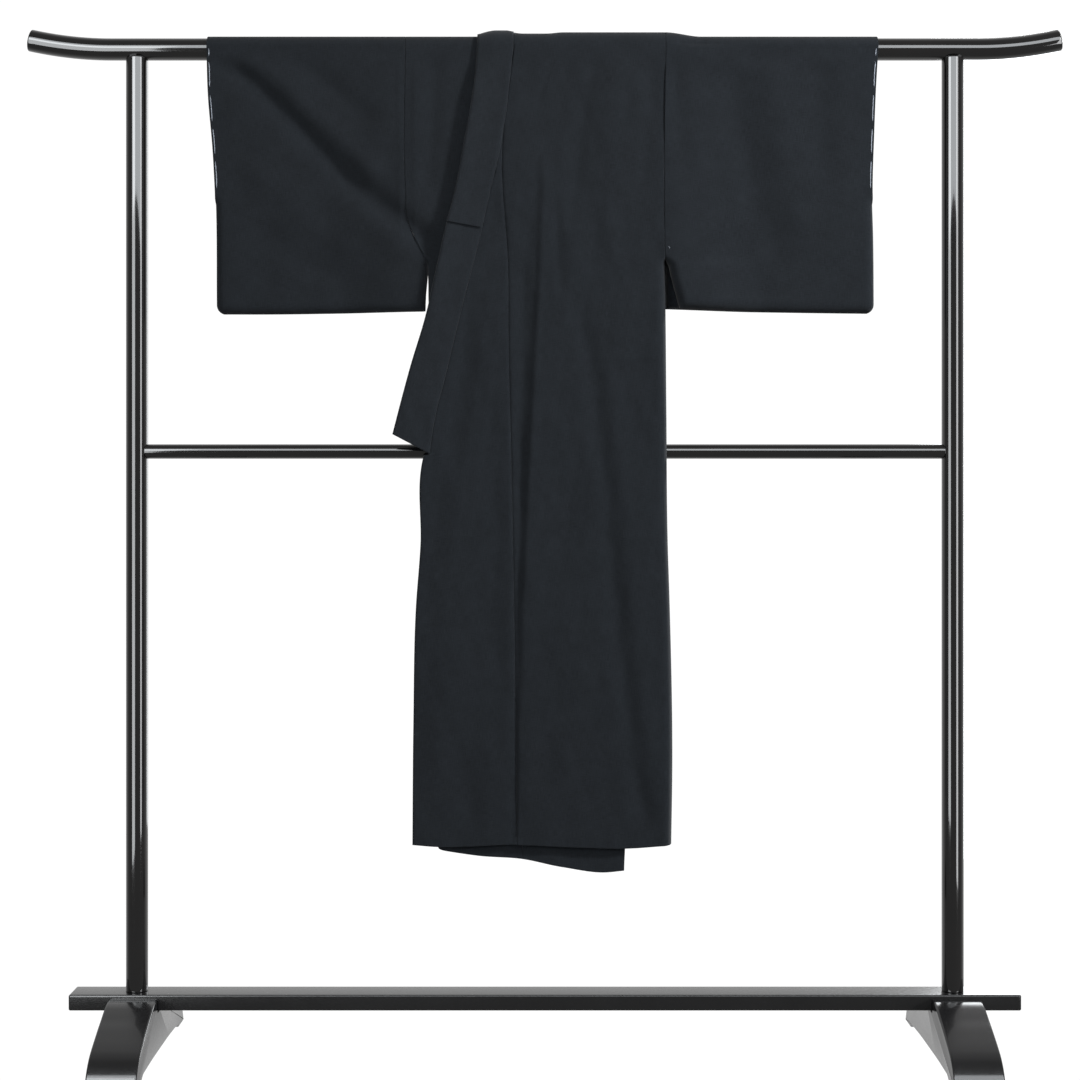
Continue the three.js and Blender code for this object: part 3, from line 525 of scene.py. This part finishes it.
# ---- the pieces of the kimono ----
def make_sleeve(name, side):
    """A bag over the rod, open at the cuff and, above its sewn inner edge, towards the body."""
    cuff, body_side = (cuff_right, side_right) if side < 0 else (cuff_left, side_left)
    front, back = (front_right, back_inner) if side < 0 else (front_left, back_outer)
    body_radius = ROD_LAYERS["right" if side < 0 else "left"]
    front_folds = RIGHT_SLEEVE_FOLDS if side < 0 else LEFT_SLEEVE_FOLDS
    rows = over_rod(levels(SLEEVE_BOTTOM, ROD_Z, FRONT_PITCH[1]), levels(SLEEVE_BOTTOM, ROD_Z, BACK_PITCH))
    count = int(SLEEVE_WIDTH / FRONT_PITCH[0])
    grid = []
    for row in rows:
        low = max(CUFF_CORNER - (row.z - SLEEVE_BOTTOM), 0)
        outer = cuff(row.z) - side * (CUFF_CORNER - math.sqrt(CUFF_CORNER ** 2 - low ** 2))
        sewn = float(body_side(row.z)) + side * SEAM_GAP / 2
        free = float(sleeve_free_edge[side, row.side or 1](row.z))
        inner = lerp(free, sewn, smoothstep(ARMHOLE_END - 32, ARMHOLE_END - 14, row.z))
        x = spread(outer, inner, count)
        from_body = np.abs(x - inner)
        if row.side == 0:
            radius = lerp(body_radius, ROD_LAYERS["sleeve"], smoothstep(0, 60, from_body))
            grid.append(crest(x, radius, row.turn))
            continue
        reach = 1 - smoothstep(0, 150, from_body)
        body_z = max(row.z, ARMHOLE_END - 60)
        centre = lerp(0, (front(body_z) + back(body_z)) / 2, reach)
        half = lerp(sleeve_half_depth(row.z), (back(body_z) - front(body_z)) / 2, reach)
        cuff_sewn = 1 - smoothstep(CUFF_END - 18, CUFF_END, row.z)
        to_side = np.minimum(np.abs(x - outer) + CLOSING_RUN * (1 - cuff_sewn),
                             from_body + CLOSING_RUN * (1 - side_sewn(row.z)))
        to_bottom = row.z - SLEEVE_BOTTOM
        edges = closing(np.minimum(to_side, to_bottom))
        corner = np.clip(1 - to_side / 4, 0, 1) * max(1 - to_bottom / 4, 0) * CLOTH / 2
        half = np.maximum(half * edges, SEAM_GAP + corner)
        if row.side < 0:
            relief = folded(x, row.z, front_folds) + sway(x, row.z, 31 + side, 1.5)
            relief = relief + pucker(from_body, row.z) * (row.z > ARMHOLE_END)
        else:
            relief = folded(np.abs(x), row.z, SLEEVE_BACK_FOLDS) + sway(x, row.z, 35 + side, 1.5)
        y = centre + row.side * (half + relief * free_of_rod(row.z) * edges)
        z = row.z + sleeve_bottom_rise[side](np.abs(x)) * np.clip(1 - to_bottom / 160, 0, 1)
        grid.append(np.stack([x, y, z], -1))
    return cloth_wall(name, np.array(grid), CLOTH)


MEET_X = (NECK_RIGHT + NECK_LEFT) / 2
PLEAT_EDGE = {1: (NECK_LEFT + MEET_X - NECK_TO_BACK_SEAM) / 2,
              -1: (NECK_RIGHT + MEET_X + NECK_TO_BACK_SEAM) / 2}
PLEAT_FLAT = list(np.linspace(0, 1, 5)[1:])
PLEAT_TURNS = list(np.radians(np.arange(22.5, 181, 22.5)))
PLEAT_BACK = list(np.linspace(0, 1, 7)[1:])


def pleat_line(side, z, neck, relief):
    """Past the neck point each back runs on, turns under and comes back to the centre seam."""
    outer, middle = (back_outer if side > 0 else back_inner)(z), back_middle(z)
    radius = abs(middle - outer) / 2
    turn_x = PLEAT_EDGE[side] + side * radius
    places = [(lerp(neck, turn_x, share), outer + relief * (1 - share)) for share in PLEAT_FLAT]
    places += [(turn_x - side * radius * math.sin(turn), lerp(outer, middle, (1 - math.cos(turn)) / 2))
               for turn in PLEAT_TURNS]
    places += [(lerp(turn_x, MEET_X - side * SEAM_GAP / 2, share), middle) for share in PLEAT_BACK]
    return np.array([(x, y, z) for x, y in places])


def body_inner_edge(side, row):
    """At the front seam or under the collar in front, over the shoulder, and at the neck point behind."""
    left = side > 0
    neck = NECK_LEFT if left else NECK_RIGHT
    if row.side > 0:
        return neck + side * SEAM_GAP
    if row.side == 0:
        at_front = collar_sewn(ROD_Z) - TUCK if left else neck
        return lerp(at_front, neck + side * SEAM_GAP, (row.turn + math.pi / 2) / math.pi)
    if left:
        return max(collar_sewn(row.z) - TUCK, seam_left(row.z)) + SEAM_GAP / 10
    if row.z > RIGHT_OKUMI_TOP:
        beside_collar = right_collar_sewn(row.z) - 2 * SEAM_GAP
        return max(min(beside_collar, RIGHT_FRONT_REACH), NECK_RIGHT) - SEAM_GAP / 10
    return seam_right(row.z) - SEAM_GAP / 10


def make_body(name, side):
    """One length of cloth from its front hem over the shoulder to its back hem."""
    left = side > 0
    body_side, front, back = ((side_left, front_left, back_outer) if left else
                              (side_right, front_right, back_inner))
    radius = ROD_LAYERS["left" if left else "right"]
    neck = NECK_LEFT if left else NECK_RIGHT
    hem, hem_drop = (FRONT_HEM, front_hem_drop) if left else (UNDER_HEM, under_hem_drop)
    relief = left_relief if left else right_relief
    rows = over_rod(levels(hem, ROD_Z, FRONT_PITCH[1]), levels(BACK_HEM, ROD_Z, BACK_PITCH, (BACK_NECK,)))
    count = int(BODY_WIDTH / FRONT_PITCH[0])
    flat = len(spread(0, 100, count))
    past = len(PLEAT_FLAT) + len(PLEAT_TURNS) + len(PLEAT_BACK)
    grid = []
    for row in rows:
        sewn = float(body_side(row.z)) - side * SEAM_GAP / 2
        x = spread(sewn, float(body_inner_edge(side, row)), count)
        if row.side == 0:
            line = crest(x, radius - (shoulder_dip(x, row.turn) if left else 0), row.turn)
        else:
            drawn = lerp(1, closing(np.abs(x - body_side(row.z))), side_sewn(row.z))
            half = np.maximum((back(row.z) - front(row.z)) / 2 * drawn, SEAM_GAP)
            rise = relief(x, row.z) if row.side < 0 else back_relief(x, row.z)
            y = (front(row.z) + back(row.z)) / 2 + row.side * (half + rise * drawn)
            drop = hem_drop(x) * np.clip(1 - (row.z - hem) / HEM_RUN, 0, 1) if row.side < 0 else 0 * x
            line = np.stack([x, y, row.z - drop], -1)
        if row.side > 0 and row.z <= BACK_NECK:
            at_neck = float(back_relief(np.array([neck]), row.z)[0])
            line = np.concatenate([line, pleat_line(side, row.z, neck, at_neck)])
        else:
            line = np.concatenate([line, np.repeat(line[-1:], past, axis=0)])
        grid.append(line)
    covered = np.ones((len(rows) - 1, flat + past - 1), bool)
    covered[:, flat - 1:] = np.array([row.side > 0 and row.z <= BACK_NECK for row in rows[:-1]])[:, None]
    return cloth_wall(name, np.array(grid), CLOTH, covered)


def make_okumi(name, side):
    """The overlap panel between the front seam and the free edge, narrowing up to a point at the collar."""
    left = side > 0
    top, hem, collar_end = ((OKUMI_TOP, FRONT_HEM, COLLAR_SEWN_END) if left else
                            (RIGHT_OKUMI_TOP, UNDER_HEM, RIGHT_COLLAR_SEWN_END))
    seam, edge, free, front, relief = (
        (seam_left, collar_sewn, free_edge_left, front_left, left_relief) if left else
        (seam_right, right_collar_sewn, free_edge_right, front_right, right_relief))
    hem_drop = front_hem_drop if left else under_hem_drop
    grid = []
    for z in levels(hem, top, FRONT_PITCH[1], (collar_end, collar_end - 0.5)):
        outer = edge(z) - side * TUCK if z >= collar_end else free(z)
        inner = float(seam(z)) - (SEAM_GAP / 10 if left else SEAM_GAP / 6)
        x = spread(float(outer), inner, int(OKUMI_WIDTH / FRONT_PITCH[0]), False, True)
        y = front(z) - relief(x, z)
        grid.append(np.stack([x, y, z - hem_drop(x) * np.clip(1 - (z - hem) / HEM_RUN, 0, 1)], -1))
    return cloth_wall(name, np.array(grid), CLOTH)


def make_left_collar(name, thickness, lift, bottom, lip=0.0):
    """Up the front and over the rod, `lift` proud of the front and by `lip` more at its lower end."""
    shares = np.linspace(0, 1, 13)
    grid = []
    for row in over_rod(levels(bottom, ROD_Z, 7.0), []) + [Row(0, ROD_Z, math.pi / 2)]:
        if row.side == 0:
            x = lerp(collar_free(ROD_Z), collar_sewn_level(ROD_Z), shares)
            radius = ROD_LAYERS["left"] + lift + free_edge_lift(x, ROD_Z) - collar_dip(x, row.turn)
            grid.append(crest(x, radius, row.turn))
            continue
        z = row.z - collar_drop(row.z) * shares
        x = lerp(collar_free(row.z), collar_sewn_level(row.z), shares)
        y = front_left(z) - lift - left_relief(x, z) - free_edge_lift(x, z)
        y = y - lip * (1 - smoothstep(0, 22, row.z - bottom))
        grid.append(np.stack([x, y, z], -1))
    return cloth_wall(name, np.array(grid), thickness)


def make_right_collar(name):
    """Under the left front, and over the rod as far as just behind its top."""
    grid = []
    shares = np.linspace(0, 1, 9)
    for z in levels(RIGHT_COLLAR_COURSE[-1][0], ROD_Z, 8.0):
        x = lerp(right_collar_sewn(z), right_collar_free(z), shares)
        grid.append(np.stack([x, front_right(z) + 0 * x, z + 0 * x], -1))
    for turn in np.radians(np.arange(-81, 23, 9)):
        x = lerp(right_collar_sewn(ROD_Z), right_collar_free(ROD_Z), shares)
        grid.append(crest(x, ROD_LAYERS["right"], turn))
    return cloth_wall(name, np.array(grid), CLOTH)


def make_back_collar(name):
    """Round the back neck the collar stands above the backs and follows their turns."""
    grid = []
    for z in np.linspace(BACK_NECK + SEAM_GAP, ROD_Z - 2 * SEAM_GAP, 9):
        left = pleat_line(1, z, NECK_LEFT, 0)
        right = pleat_line(-1, z, NECK_RIGHT, 0)
        left[-1, 0] = MEET_X
        grid.append(np.concatenate([left, right[-2::-1]]))
    return cloth_wall(name, np.array(grid), CLOTH)


# ---- the stand ----
POST_X = centre_of("post_left", X)
BEAM_LOW, BEAM_HIGH = box_mm("beam")
FOOT_REACH, FOOT_TOP = box_mm("foot_left")[1][Y:]
ROD_HALF = half_of("rod", X)
TIP_RISE, TIP_RUN = 15.0, 135.0
POST_TOP = ROD_Z - 14.0
BEVEL = 3.0
ROUND_SIDES = 72
TURNS = np.linspace(0, 2 * math.pi, ROUND_SIDES, endpoint=False)


def tube(name, rings):
    """A closed skin through the rings, with both ends filled."""
    rings = np.array(rings)
    count = rings.shape[1]
    index = np.arange(len(rings) * count).reshape(len(rings), count)
    after = np.roll(index, -1, axis=1)
    sides = np.stack([index[:-1], after[:-1], after[1:], index[1:]], -1).reshape(-1, 4)
    faces = [list(face) for face in sides] + [list(index[0][::-1]), list(index[-1])]
    obj = mesh_object(name, rings.reshape(-1, 3), faces)
    smooth(obj)
    return obj


def make_rod(name):
    """Straight between the posts, with both ends turned up and their edges eased."""
    straight = ROD_HALF - TIP_RUN
    tip = np.linspace(1, 0, 14)[:-1]
    x = np.concatenate([-straight - TIP_RUN * tip, np.linspace(-straight, straight, 30),
                        straight + TIP_RUN * tip[::-1]])
    beyond = np.clip((np.abs(x) - straight) / TIP_RUN, 0, 1)
    z = ROD_Z + TIP_RISE * beyond ** 2
    slope = np.arctan2(2 * TIP_RISE * beyond / TIP_RUN * np.sign(x), 1)
    first = [(0.0, 2.4), (0.0, 1.9), (0.45, 0.8), (1.1, 0.25), (2.4, 0.0)]
    last = [(-step, drawn) for step, drawn in reversed(first)]
    rings = []
    for px, pz, lean, steps in zip(x, z, slope, [first] + [[(0, 0)]] * (len(x) - 2) + [last]):
        for step, drawn in steps:
            up = (ROD_RADIUS - drawn) * np.cos(TURNS)
            rings.append(np.stack([px + step * math.cos(lean) - up * math.sin(lean),
                                   (ROD_RADIUS - drawn) * np.sin(TURNS),
                                   pz + step * math.sin(lean) + up * math.cos(lean)], -1))
    return tube(name, rings)


def make_post(name, x):
    """Its top is cut off level and hollowed a little to carry the rod."""
    px, py = x + POST_RADIUS * np.cos(TURNS), POST_RADIUS * np.sin(TURNS)
    hollow = ROD_Z - np.sqrt(np.maximum((ROD_RADIUS + SEAM_GAP) ** 2 - py ** 2, 0))
    top = np.minimum(hollow, POST_TOP)
    bottom = BEAM_HIGH[Z] + SEAM_GAP
    rings = [np.stack([px, py, lerp(bottom, top, share)], -1) for share in (0, 0.001, 0.3, 0.6, 0.999, 1)]
    return tube(name, rings)


def make_rail(name):
    y, z = RAIL_RADIUS * np.sin(TURNS), RAIL_Z + RAIL_RADIUS * np.cos(TURNS)
    end = POST_X - np.sqrt((POST_RADIUS + SEAM_GAP) ** 2 - y ** 2)
    return tube(name, [np.stack([share * end, y, z], -1) for share in (-1, -0.999, -0.5, 0, 0.5, 0.999, 1)])


def rounded_outline(corners, steps=6):
    """A closed outline in (y, z), each corner eased by its own radius."""
    outline = []
    for k, (y, z, radius) in enumerate(corners):
        here = np.array([y, z], float)
        before = np.array(corners[k - 1][:2], float) - here
        after = np.array(corners[(k + 1) % len(corners)][:2], float) - here
        if radius == 0:
            outline.append(here)
            continue
        cut = min(radius, 0.45 * np.linalg.norm(before), 0.45 * np.linalg.norm(after))
        start, end = here + unit(before) * cut, here + unit(after) * cut
        for t in np.linspace(0, 1, steps + 1):
            outline.append((1 - t) ** 2 * start + 2 * t * (1 - t) * here + t ** 2 * end)
    return np.array(outline)


def bevelled_prism(name, outline, x_low, x_high):
    """The outline carried along X, with both ends' edges eased."""
    ways = unit(np.roll(outline, -1, axis=0) - np.roll(outline, 1, axis=0))
    outward_way = np.stack([ways[:, 1], -ways[:, 0]], 1)
    area = np.sum(outline[:, 0] * np.roll(outline[:, 1], -1) - np.roll(outline[:, 0], -1) * outline[:, 1])
    outward_way = outward_way * np.sign(area)
    turns = np.linspace(0, math.pi / 2, 5)
    stations = sorted({(round(x_low + BEVEL * (1 - math.sin(turn)), 4),
                        round(BEVEL * (1 - math.cos(turn)), 4)) for turn in turns})
    stations = stations + [(stations[-1][0] + 0.6, 0.0)]
    mirrored = [(x_high - (x - x_low), inset) for x, inset in reversed(stations)]
    rings = []
    for x, inset in stations + mirrored:
        ring = outline - outward_way * inset
        rings.append(np.concatenate([np.full((len(ring), 1), x), ring], axis=1))
    return tube(name, rings)


def make_beam(name):
    y, low, high = BEAM_HIGH[Y], BEAM_LOW[Z], BEAM_HIGH[Z]
    outline = rounded_outline([(-y, low, 3.5), (y, low, 3.5), (y, high, 3.5), (-y, high, 3.5)])
    return bevelled_prism(name, outline, BEAM_LOW[X], BEAM_HIGH[X])


def make_foot(name, x):
    """A broad foot with a flat top, cheeks curving down to its toes, and an arch between its two pads."""
    slope_down = [(61, 91.5), (78, 85), (95, 78), (114, 71), (132, 63.5), (152, 55), (170, 46.5), (182, 39),
                  (192, 30), (200, 20), (205, 11)]
    notch, notch_floor = BEAM_HIGH[Y] + SEAM_GAP, BEAM_LOW[Z] - SEAM_GAP
    side = [(notch, notch_floor, 0.6), (notch, FOOT_TOP, 2.0), (46, FOOT_TOP, 14)]
    side += [(y, z, 9) for y, z in slope_down]
    side += [(FOOT_REACH, 2, 3), (FOOT_REACH - 4, 0, 1.5), (162, 0, 2), (150, 6.3, 5), (75, 9, 30)]
    mirrored = [(-y, z, radius) for y, z, radius in reversed(side)]
    outline = rounded_outline(side + mirrored)
    half = half_of("foot_left", X)
    return bevelled_prism(name, outline, x - half, x + half)


# ---- finishes ----
class Graph:
    """The nodes of one finish, or of the room's light."""

    def __init__(self, tree):
        self.nodes, self.links = tree.nodes, tree.links

    def fill(self, node, inputs):
        """Each named input takes a value, or is linked to another node's output."""
        for name, value in inputs.items():
            if isinstance(value, bpy.types.NodeSocket):
                self.links.new(value, node.inputs[name])
            else:
                node.inputs[name].default_value = value

    def new(self, kind, output, inputs):
        node = self.nodes.new("ShaderNode" + kind)
        self.fill(node, inputs)
        return node.outputs[output]

    def noise(self, vector, scale, detail=3.0, stretch=None):
        if stretch is not None:
            vector = self.new("Mapping", "Vector", {"Vector": vector, "Scale": stretch})
        return self.new("TexNoise", "Fac", {"Vector": vector, "Scale": scale, "Detail": detail})

    def math(self, operation, first, second):
        node = self.nodes.new("ShaderNodeMath")
        node.operation = operation
        self.fill(node, {0: first, 1: second})
        return node.outputs["Value"]

    def mottled(self, value, reach, colour, shades):
        """The colour, between two shades of it as the value runs through its reach."""
        node = self.nodes.new("ShaderNodeValToRGB")
        for element, position, shade in zip(node.color_ramp.elements, reach, shades):
            element.position = position
            element.color = tuple(shade * channel for channel in colour) + (1,)
        self.fill(node, {"Fac": value})
        return node.outputs["Color"]

    def bump(self, height, strength, distance):
        return self.new("Bump", "Normal", {"Height": height, "Strength": strength, "Distance": distance})


def finish_named(name):
    material = bpy.data.materials.new(name)
    material.use_nodes = True
    graph = Graph(material.node_tree)
    return material, graph, graph.nodes["Principled BSDF"]


def cloth_finish(name, colour, sheen):
    """Fine plain-woven cloth: slubby threads both ways, faint unevenness of dye and a soft nap."""
    material, graph, shader = finish_named(name)
    lengths = graph.new("TexCoord", "UV", {})
    warp = graph.noise(lengths, 1.0, 2.0, (1150, 70, 1))
    weft = graph.noise(lengths, 1.0, 2.0, (90, 1300, 1))
    threads = graph.math("ADD", warp, weft)
    dye = graph.noise(lengths, 26.0, 4.0)
    mottle = graph.math("ADD", graph.math("MULTIPLY", threads, 0.40), graph.math("MULTIPLY", dye, 0.20))
    graph.fill(shader, {"Base Color": graph.mottled(mottle, (0.38, 0.62), colour, (0.76, 1.22)),
                        "Roughness": 0.86, "Specular IOR Level": 0.05,
                        "Sheen Weight": sheen, "Sheen Roughness": 0.55,
                        "Normal": graph.bump(threads, 0.28, 0.0004)})
    return material


def lacquer_finish(name, colour, roughness, spread_by, coat):
    """Black lacquer over wood, a little uneven under its gloss."""
    material, graph, shader = finish_named(name)
    place_on = graph.new("TexCoord", "Object", {})
    cloudy = graph.noise(place_on, 9.0, 3.0)
    fine = graph.noise(place_on, 160.0, 2.0)
    rough = graph.math("MULTIPLY", graph.math("ADD", cloudy, fine), spread_by)
    graph.fill(shader, {"Base Color": graph.mottled(cloudy, (0.3, 0.7), colour, (0.8, 1.3)),
                        "Roughness": graph.math("ADD", rough, roughness),
                        "Coat Weight": coat, "Coat Roughness": 0.04,
                        "Normal": graph.bump(graph.noise(place_on, 5.0, 0.0), 0.01, 0.001)})
    return material


def thread_finish(name, colour):
    """Loosely twisted cotton, pale against the cloth."""
    material, graph, shader = finish_named(name)
    twist = graph.noise(graph.new("TexCoord", "Object", {}), 900.0, 2.0)
    graph.fill(shader, {"Base Color": graph.mottled(twist, (0.3, 0.7), colour, (0.8, 1.1)),
                        "Roughness": 0.7})
    return material


CLOTH_COLOUR = (0.0155, 0.0190, 0.0236)
kimono_cloth = cloth_finish("kimono cloth", CLOTH_COLOUR, 0.10)
collar_cloth = cloth_finish("collar cloth", tuple(1.08 * c for c in CLOTH_COLOUR), 0.12)
gloss_lacquer = lacquer_finish("gloss lacquer", (0.0045, 0.0040, 0.0040), 0.05, 0.02, 1.0)
satin_lacquer = lacquer_finish("satin lacquer", (0.006, 0.006, 0.0065), 0.14, 0.10, 0.6)
basting_thread = thread_finish("basting thread", (0.36, 0.40, 0.47))


# ---- building it ----
def place(obj, node, material):
    obj.data.materials.clear()
    obj.data.materials.append(material)
    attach(obj, "root")
    if node:
        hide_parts(*([node] if isinstance(node, str) else node))
    return obj


rod = place(make_rod("stand_rod"), "rod", gloss_lacquer)
for word, side in (("right", -1), ("left", 1)):
    place(make_post(f"stand_post_{word}", side * POST_X), f"post_{word}", gloss_lacquer)
    place(make_foot(f"stand_foot_{word}", side * POST_X), f"foot_{word}", satin_lacquer)
place(make_rail("stand_rail"), "rail", gloss_lacquer)
place(make_beam("stand_beam"), "beam", satin_lacquer)

COLLAR_LIFT = (COLLAR - CLOTH) / 2
OVER_LIFT = COLLAR - CLOTH / 2 + SEAM_GAP + OVERCOLLAR / 2
# Each piece with the width, length and flat area that it was cut to, in metres.
cloth_pieces = [
    (make_sleeve("sleeve_right_cloth", -1), "sleeve_right", kimono_cloth, (0.345, 0.98), None),
    (make_sleeve("sleeve_left_cloth", 1), "sleeve_left", kimono_cloth, (0.345, 0.98), None),
    (make_body("body_right_cloth", -1), "body_right", kimono_cloth, (0.30, 2.72), None),
    (make_body("body_left_cloth", 1), "body_left", kimono_cloth, (0.30, 2.72), None),
    (make_okumi("okumi_right_cloth", -1), "okumi_right", kimono_cloth, (0.18, 1.10), 0.15),
    (make_okumi("okumi_left_cloth", 1), "okumi_left", kimono_cloth, (0.17, 1.10), 0.14),
    (make_left_collar("collar_left_cloth", COLLAR, COLLAR_LIFT, COLLAR_END), "collar_left",
     collar_cloth, (0.06, 0.75), None),
    (make_left_collar("overcollar_left_cloth", OVERCOLLAR, OVER_LIFT, OVERCOLLAR_END, 1.4),
     "overcollar_left", collar_cloth, (0.06, 0.36), None),
    (make_right_collar("collar_right_cloth"), "collar_right", collar_cloth, (0.06, 0.75), None),
    (make_back_collar("collar_back_cloth"), "collar_back", collar_cloth, (0.05, 0.20), None),
]
for obj, node, material, flat, area in cloth_pieces:
    place(obj, node, material)


# ---- the room: a white ground, soft light from the front and long boxes that the lacquer mirrors ----
scene = bpy.context.scene
scene.view_settings.view_transform = "Standard"
scene.view_settings.look = "None"

world = bpy.data.worlds.new("white room")
scene.world = world
world.use_nodes = True
light = Graph(world.node_tree)
SEEN, AMBIENT, MIRRORED_FRONT, MIRRORED_BACK = 1.05, 0.16, 0.22, 0.62
looking = light.new("SeparateXYZ", "Y", {"Vector": light.new("TexCoord", "Generated", {})})
mirrored = light.new("MapRange", "Result", {
    "Value": looking, "From Min": -0.1, "From Max": 0.7,
    "To Min": MIRRORED_FRONT - AMBIENT, "To Max": MIRRORED_BACK - AMBIENT})
seen = light.math("MULTIPLY", light.new("LightPath", "Is Camera Ray", {}), SEEN - AMBIENT)
mirrored = light.math("MULTIPLY", light.new("LightPath", "Is Glossy Ray", {}), mirrored)
strength = light.math("ADD", AMBIENT, light.math("ADD", seen, mirrored))
light.fill(light.nodes["Background"], {"Strength": strength, "Color": (1.0, 1.0, 1.0, 1.0)})

TARGET = (0.0, 0.0, 0.95)


def light_box(name, place_m, size, watts, colour=(1, 1, 1), target=TARGET):
    data = bpy.data.lights.new(name, "AREA")
    data.shape = "RECTANGLE"
    data.size, data.size_y = size
    data.energy = watts
    data.color = colour
    obj = added(name, data)
    obj.location = place_m
    way = np.array(target) - np.array(place_m)
    flat_reach = math.hypot(way[0], way[1])
    obj.rotation_euler = (math.atan2(flat_reach, -way[2]), 0, math.atan2(way[1], way[0]) - math.pi / 2)
    return obj


def around(azimuth, distance, height):
    turn = math.radians(azimuth)
    return (distance * math.sin(turn), -distance * math.cos(turn), height)


MIRRORED_BOXES = [
    light_box("wide box", around(-35, 3.4, 1.25), (1.7, 3.0), 84, (0.95, 0.98, 1.0)),
    light_box("thin box", around(46, 3.4, 1.2), (1.0, 3.0), 54, (0.97, 0.98, 1.0)),
    light_box("front band", (0, -3.0, 2.65), (5.6, 1.6), 130, (0.93, 0.97, 1.0), (0, 0, 1.6)),
    light_box("back box", around(150, 3.4, 1.25), (0.9, 3.0), 40, (0.95, 0.98, 1.0)),
]
for box in MIRRORED_BOXES:
    box.visible_diffuse = False
CLOTH_BOXES = [
    light_box("cloth key", around(62, 3.2, 2.7), (0.5, 0.5), 120),
    light_box("cloth fill", around(-12, 3.6, 1.7), (1.6, 1.6), 42),
    light_box("back key", around(128, 3.4, 2.5), (0.5, 0.5), 170),
    light_box("back fill", around(196, 3.6, 1.7), (1.6, 1.6), 80),
]
for box in CLOTH_BOXES:
    box.visible_glossy = False
for box in MIRRORED_BOXES + CLOTH_BOXES:
    box.visible_camera = False

camera_data = bpy.data.cameras.new("camera")
camera_data.sensor_width = 36
camera_data.lens = 66.7
camera_data.shift_y = -0.037
camera = added("camera", camera_data)
camera.location = (-0.008, -3.3, 0.912)
camera.rotation_euler = (math.pi / 2, 0, 0)
scene.camera = camera


# ---- threads: the basting still in both cuffs, and the bar tack at the left armhole ----
IN_FRONT = -0.3  # in metres, clear of the whole kimono
THREAD_SIDES, THREAD_END = 8, 0.35


def surface_at(obj, points, offset):
    """The places just in front of the piece at each (x, z), straight through from the front."""
    tree = BVHTree.FromObject(obj, bpy.context.evaluated_depsgraph_get())
    hits = [tree.ray_cast((x * MM, IN_FRONT, z * MM), (0, 1, 0))[0] for x, z in points]
    return [np.array(hit) / MM - (0, offset, 0) for hit in hits if hit is not None]


def stitch(points, half_width, half_height):
    """A flattened thread along the points; returns its rings."""
    turns = np.linspace(0, 2 * math.pi, THREAD_SIDES, endpoint=False)
    points = np.array(points)
    ways = unit(np.gradient(points, axis=0))
    rings = []
    for k, (point, way) in enumerate(zip(points, ways)):
        slim = THREAD_END if k in (0, len(points) - 1) else 1.0
        across = unit(np.cross(way, (0, 1, 0)))
        rings.append(point + slim * (half_width * np.cos(turns)[:, None] * across
                                     + half_height * np.sin(turns)[:, None] * np.array((0, -1.0, 0))))
    return np.array(rings)


def make_threads(name, obj, runs, half_width=0.7, half_height=0.35):
    """One stitch for each run: where it starts, where it ends, and how far it bows."""
    points, faces = [], []
    for (x0, z0), (x1, z1), bow in runs:
        count = max(4, int(math.hypot(x1 - x0, z1 - z0) / 4))
        share = np.linspace(0, 1, count)
        line = list(zip(lerp(x0, x1, share) + bow * np.sin(math.pi * share), lerp(z0, z1, share)))
        rings = stitch(surface_at(obj, line, half_height * 0.6), half_width, half_height)
        sides = rings.shape[1]
        index = len(points) + np.arange(len(rings) * sides).reshape(len(rings), sides)
        after = np.roll(index, -1, axis=1)
        faces += np.stack([index[:-1], after[:-1], after[1:], index[1:]], -1).reshape(-1, 4).tolist()
        faces += [index[0][::-1].tolist(), index[-1].tolist()]
        points += rings.reshape(-1, 3).tolist()
    threads = mesh_object(name, points, faces)
    smooth(threads)
    return place(threads, None, basting_thread)


CUFF_STITCHES = [(1652, 1640), (1630, 1589), (1576, 1534), (1521, 1481), (1468, 1424)]
STITCH_INSET, STITCH_BOW = 3.6, 0.5
BAR_TACK = [((201.5, 1326), (204, 1322), 0)]
right_sleeve, left_sleeve = cloth_pieces[0][0], cloth_pieces[1][0]
for word, inward, cuff, sleeve in (("right", 1, cuff_right, right_sleeve),
                                   ("left", -1, cuff_left, left_sleeve)):
    inset = inward * STITCH_INSET
    runs = [((cuff(top) + inset, top), (cuff(low) + inset, low), inward * STITCH_BOW)
            for top, low in CUFF_STITCHES]
    make_threads(f"basting_{word}", sleeve, runs)
make_threads("bar_tack_left", left_sleeve, BAR_TACK, 0.35, 0.25)
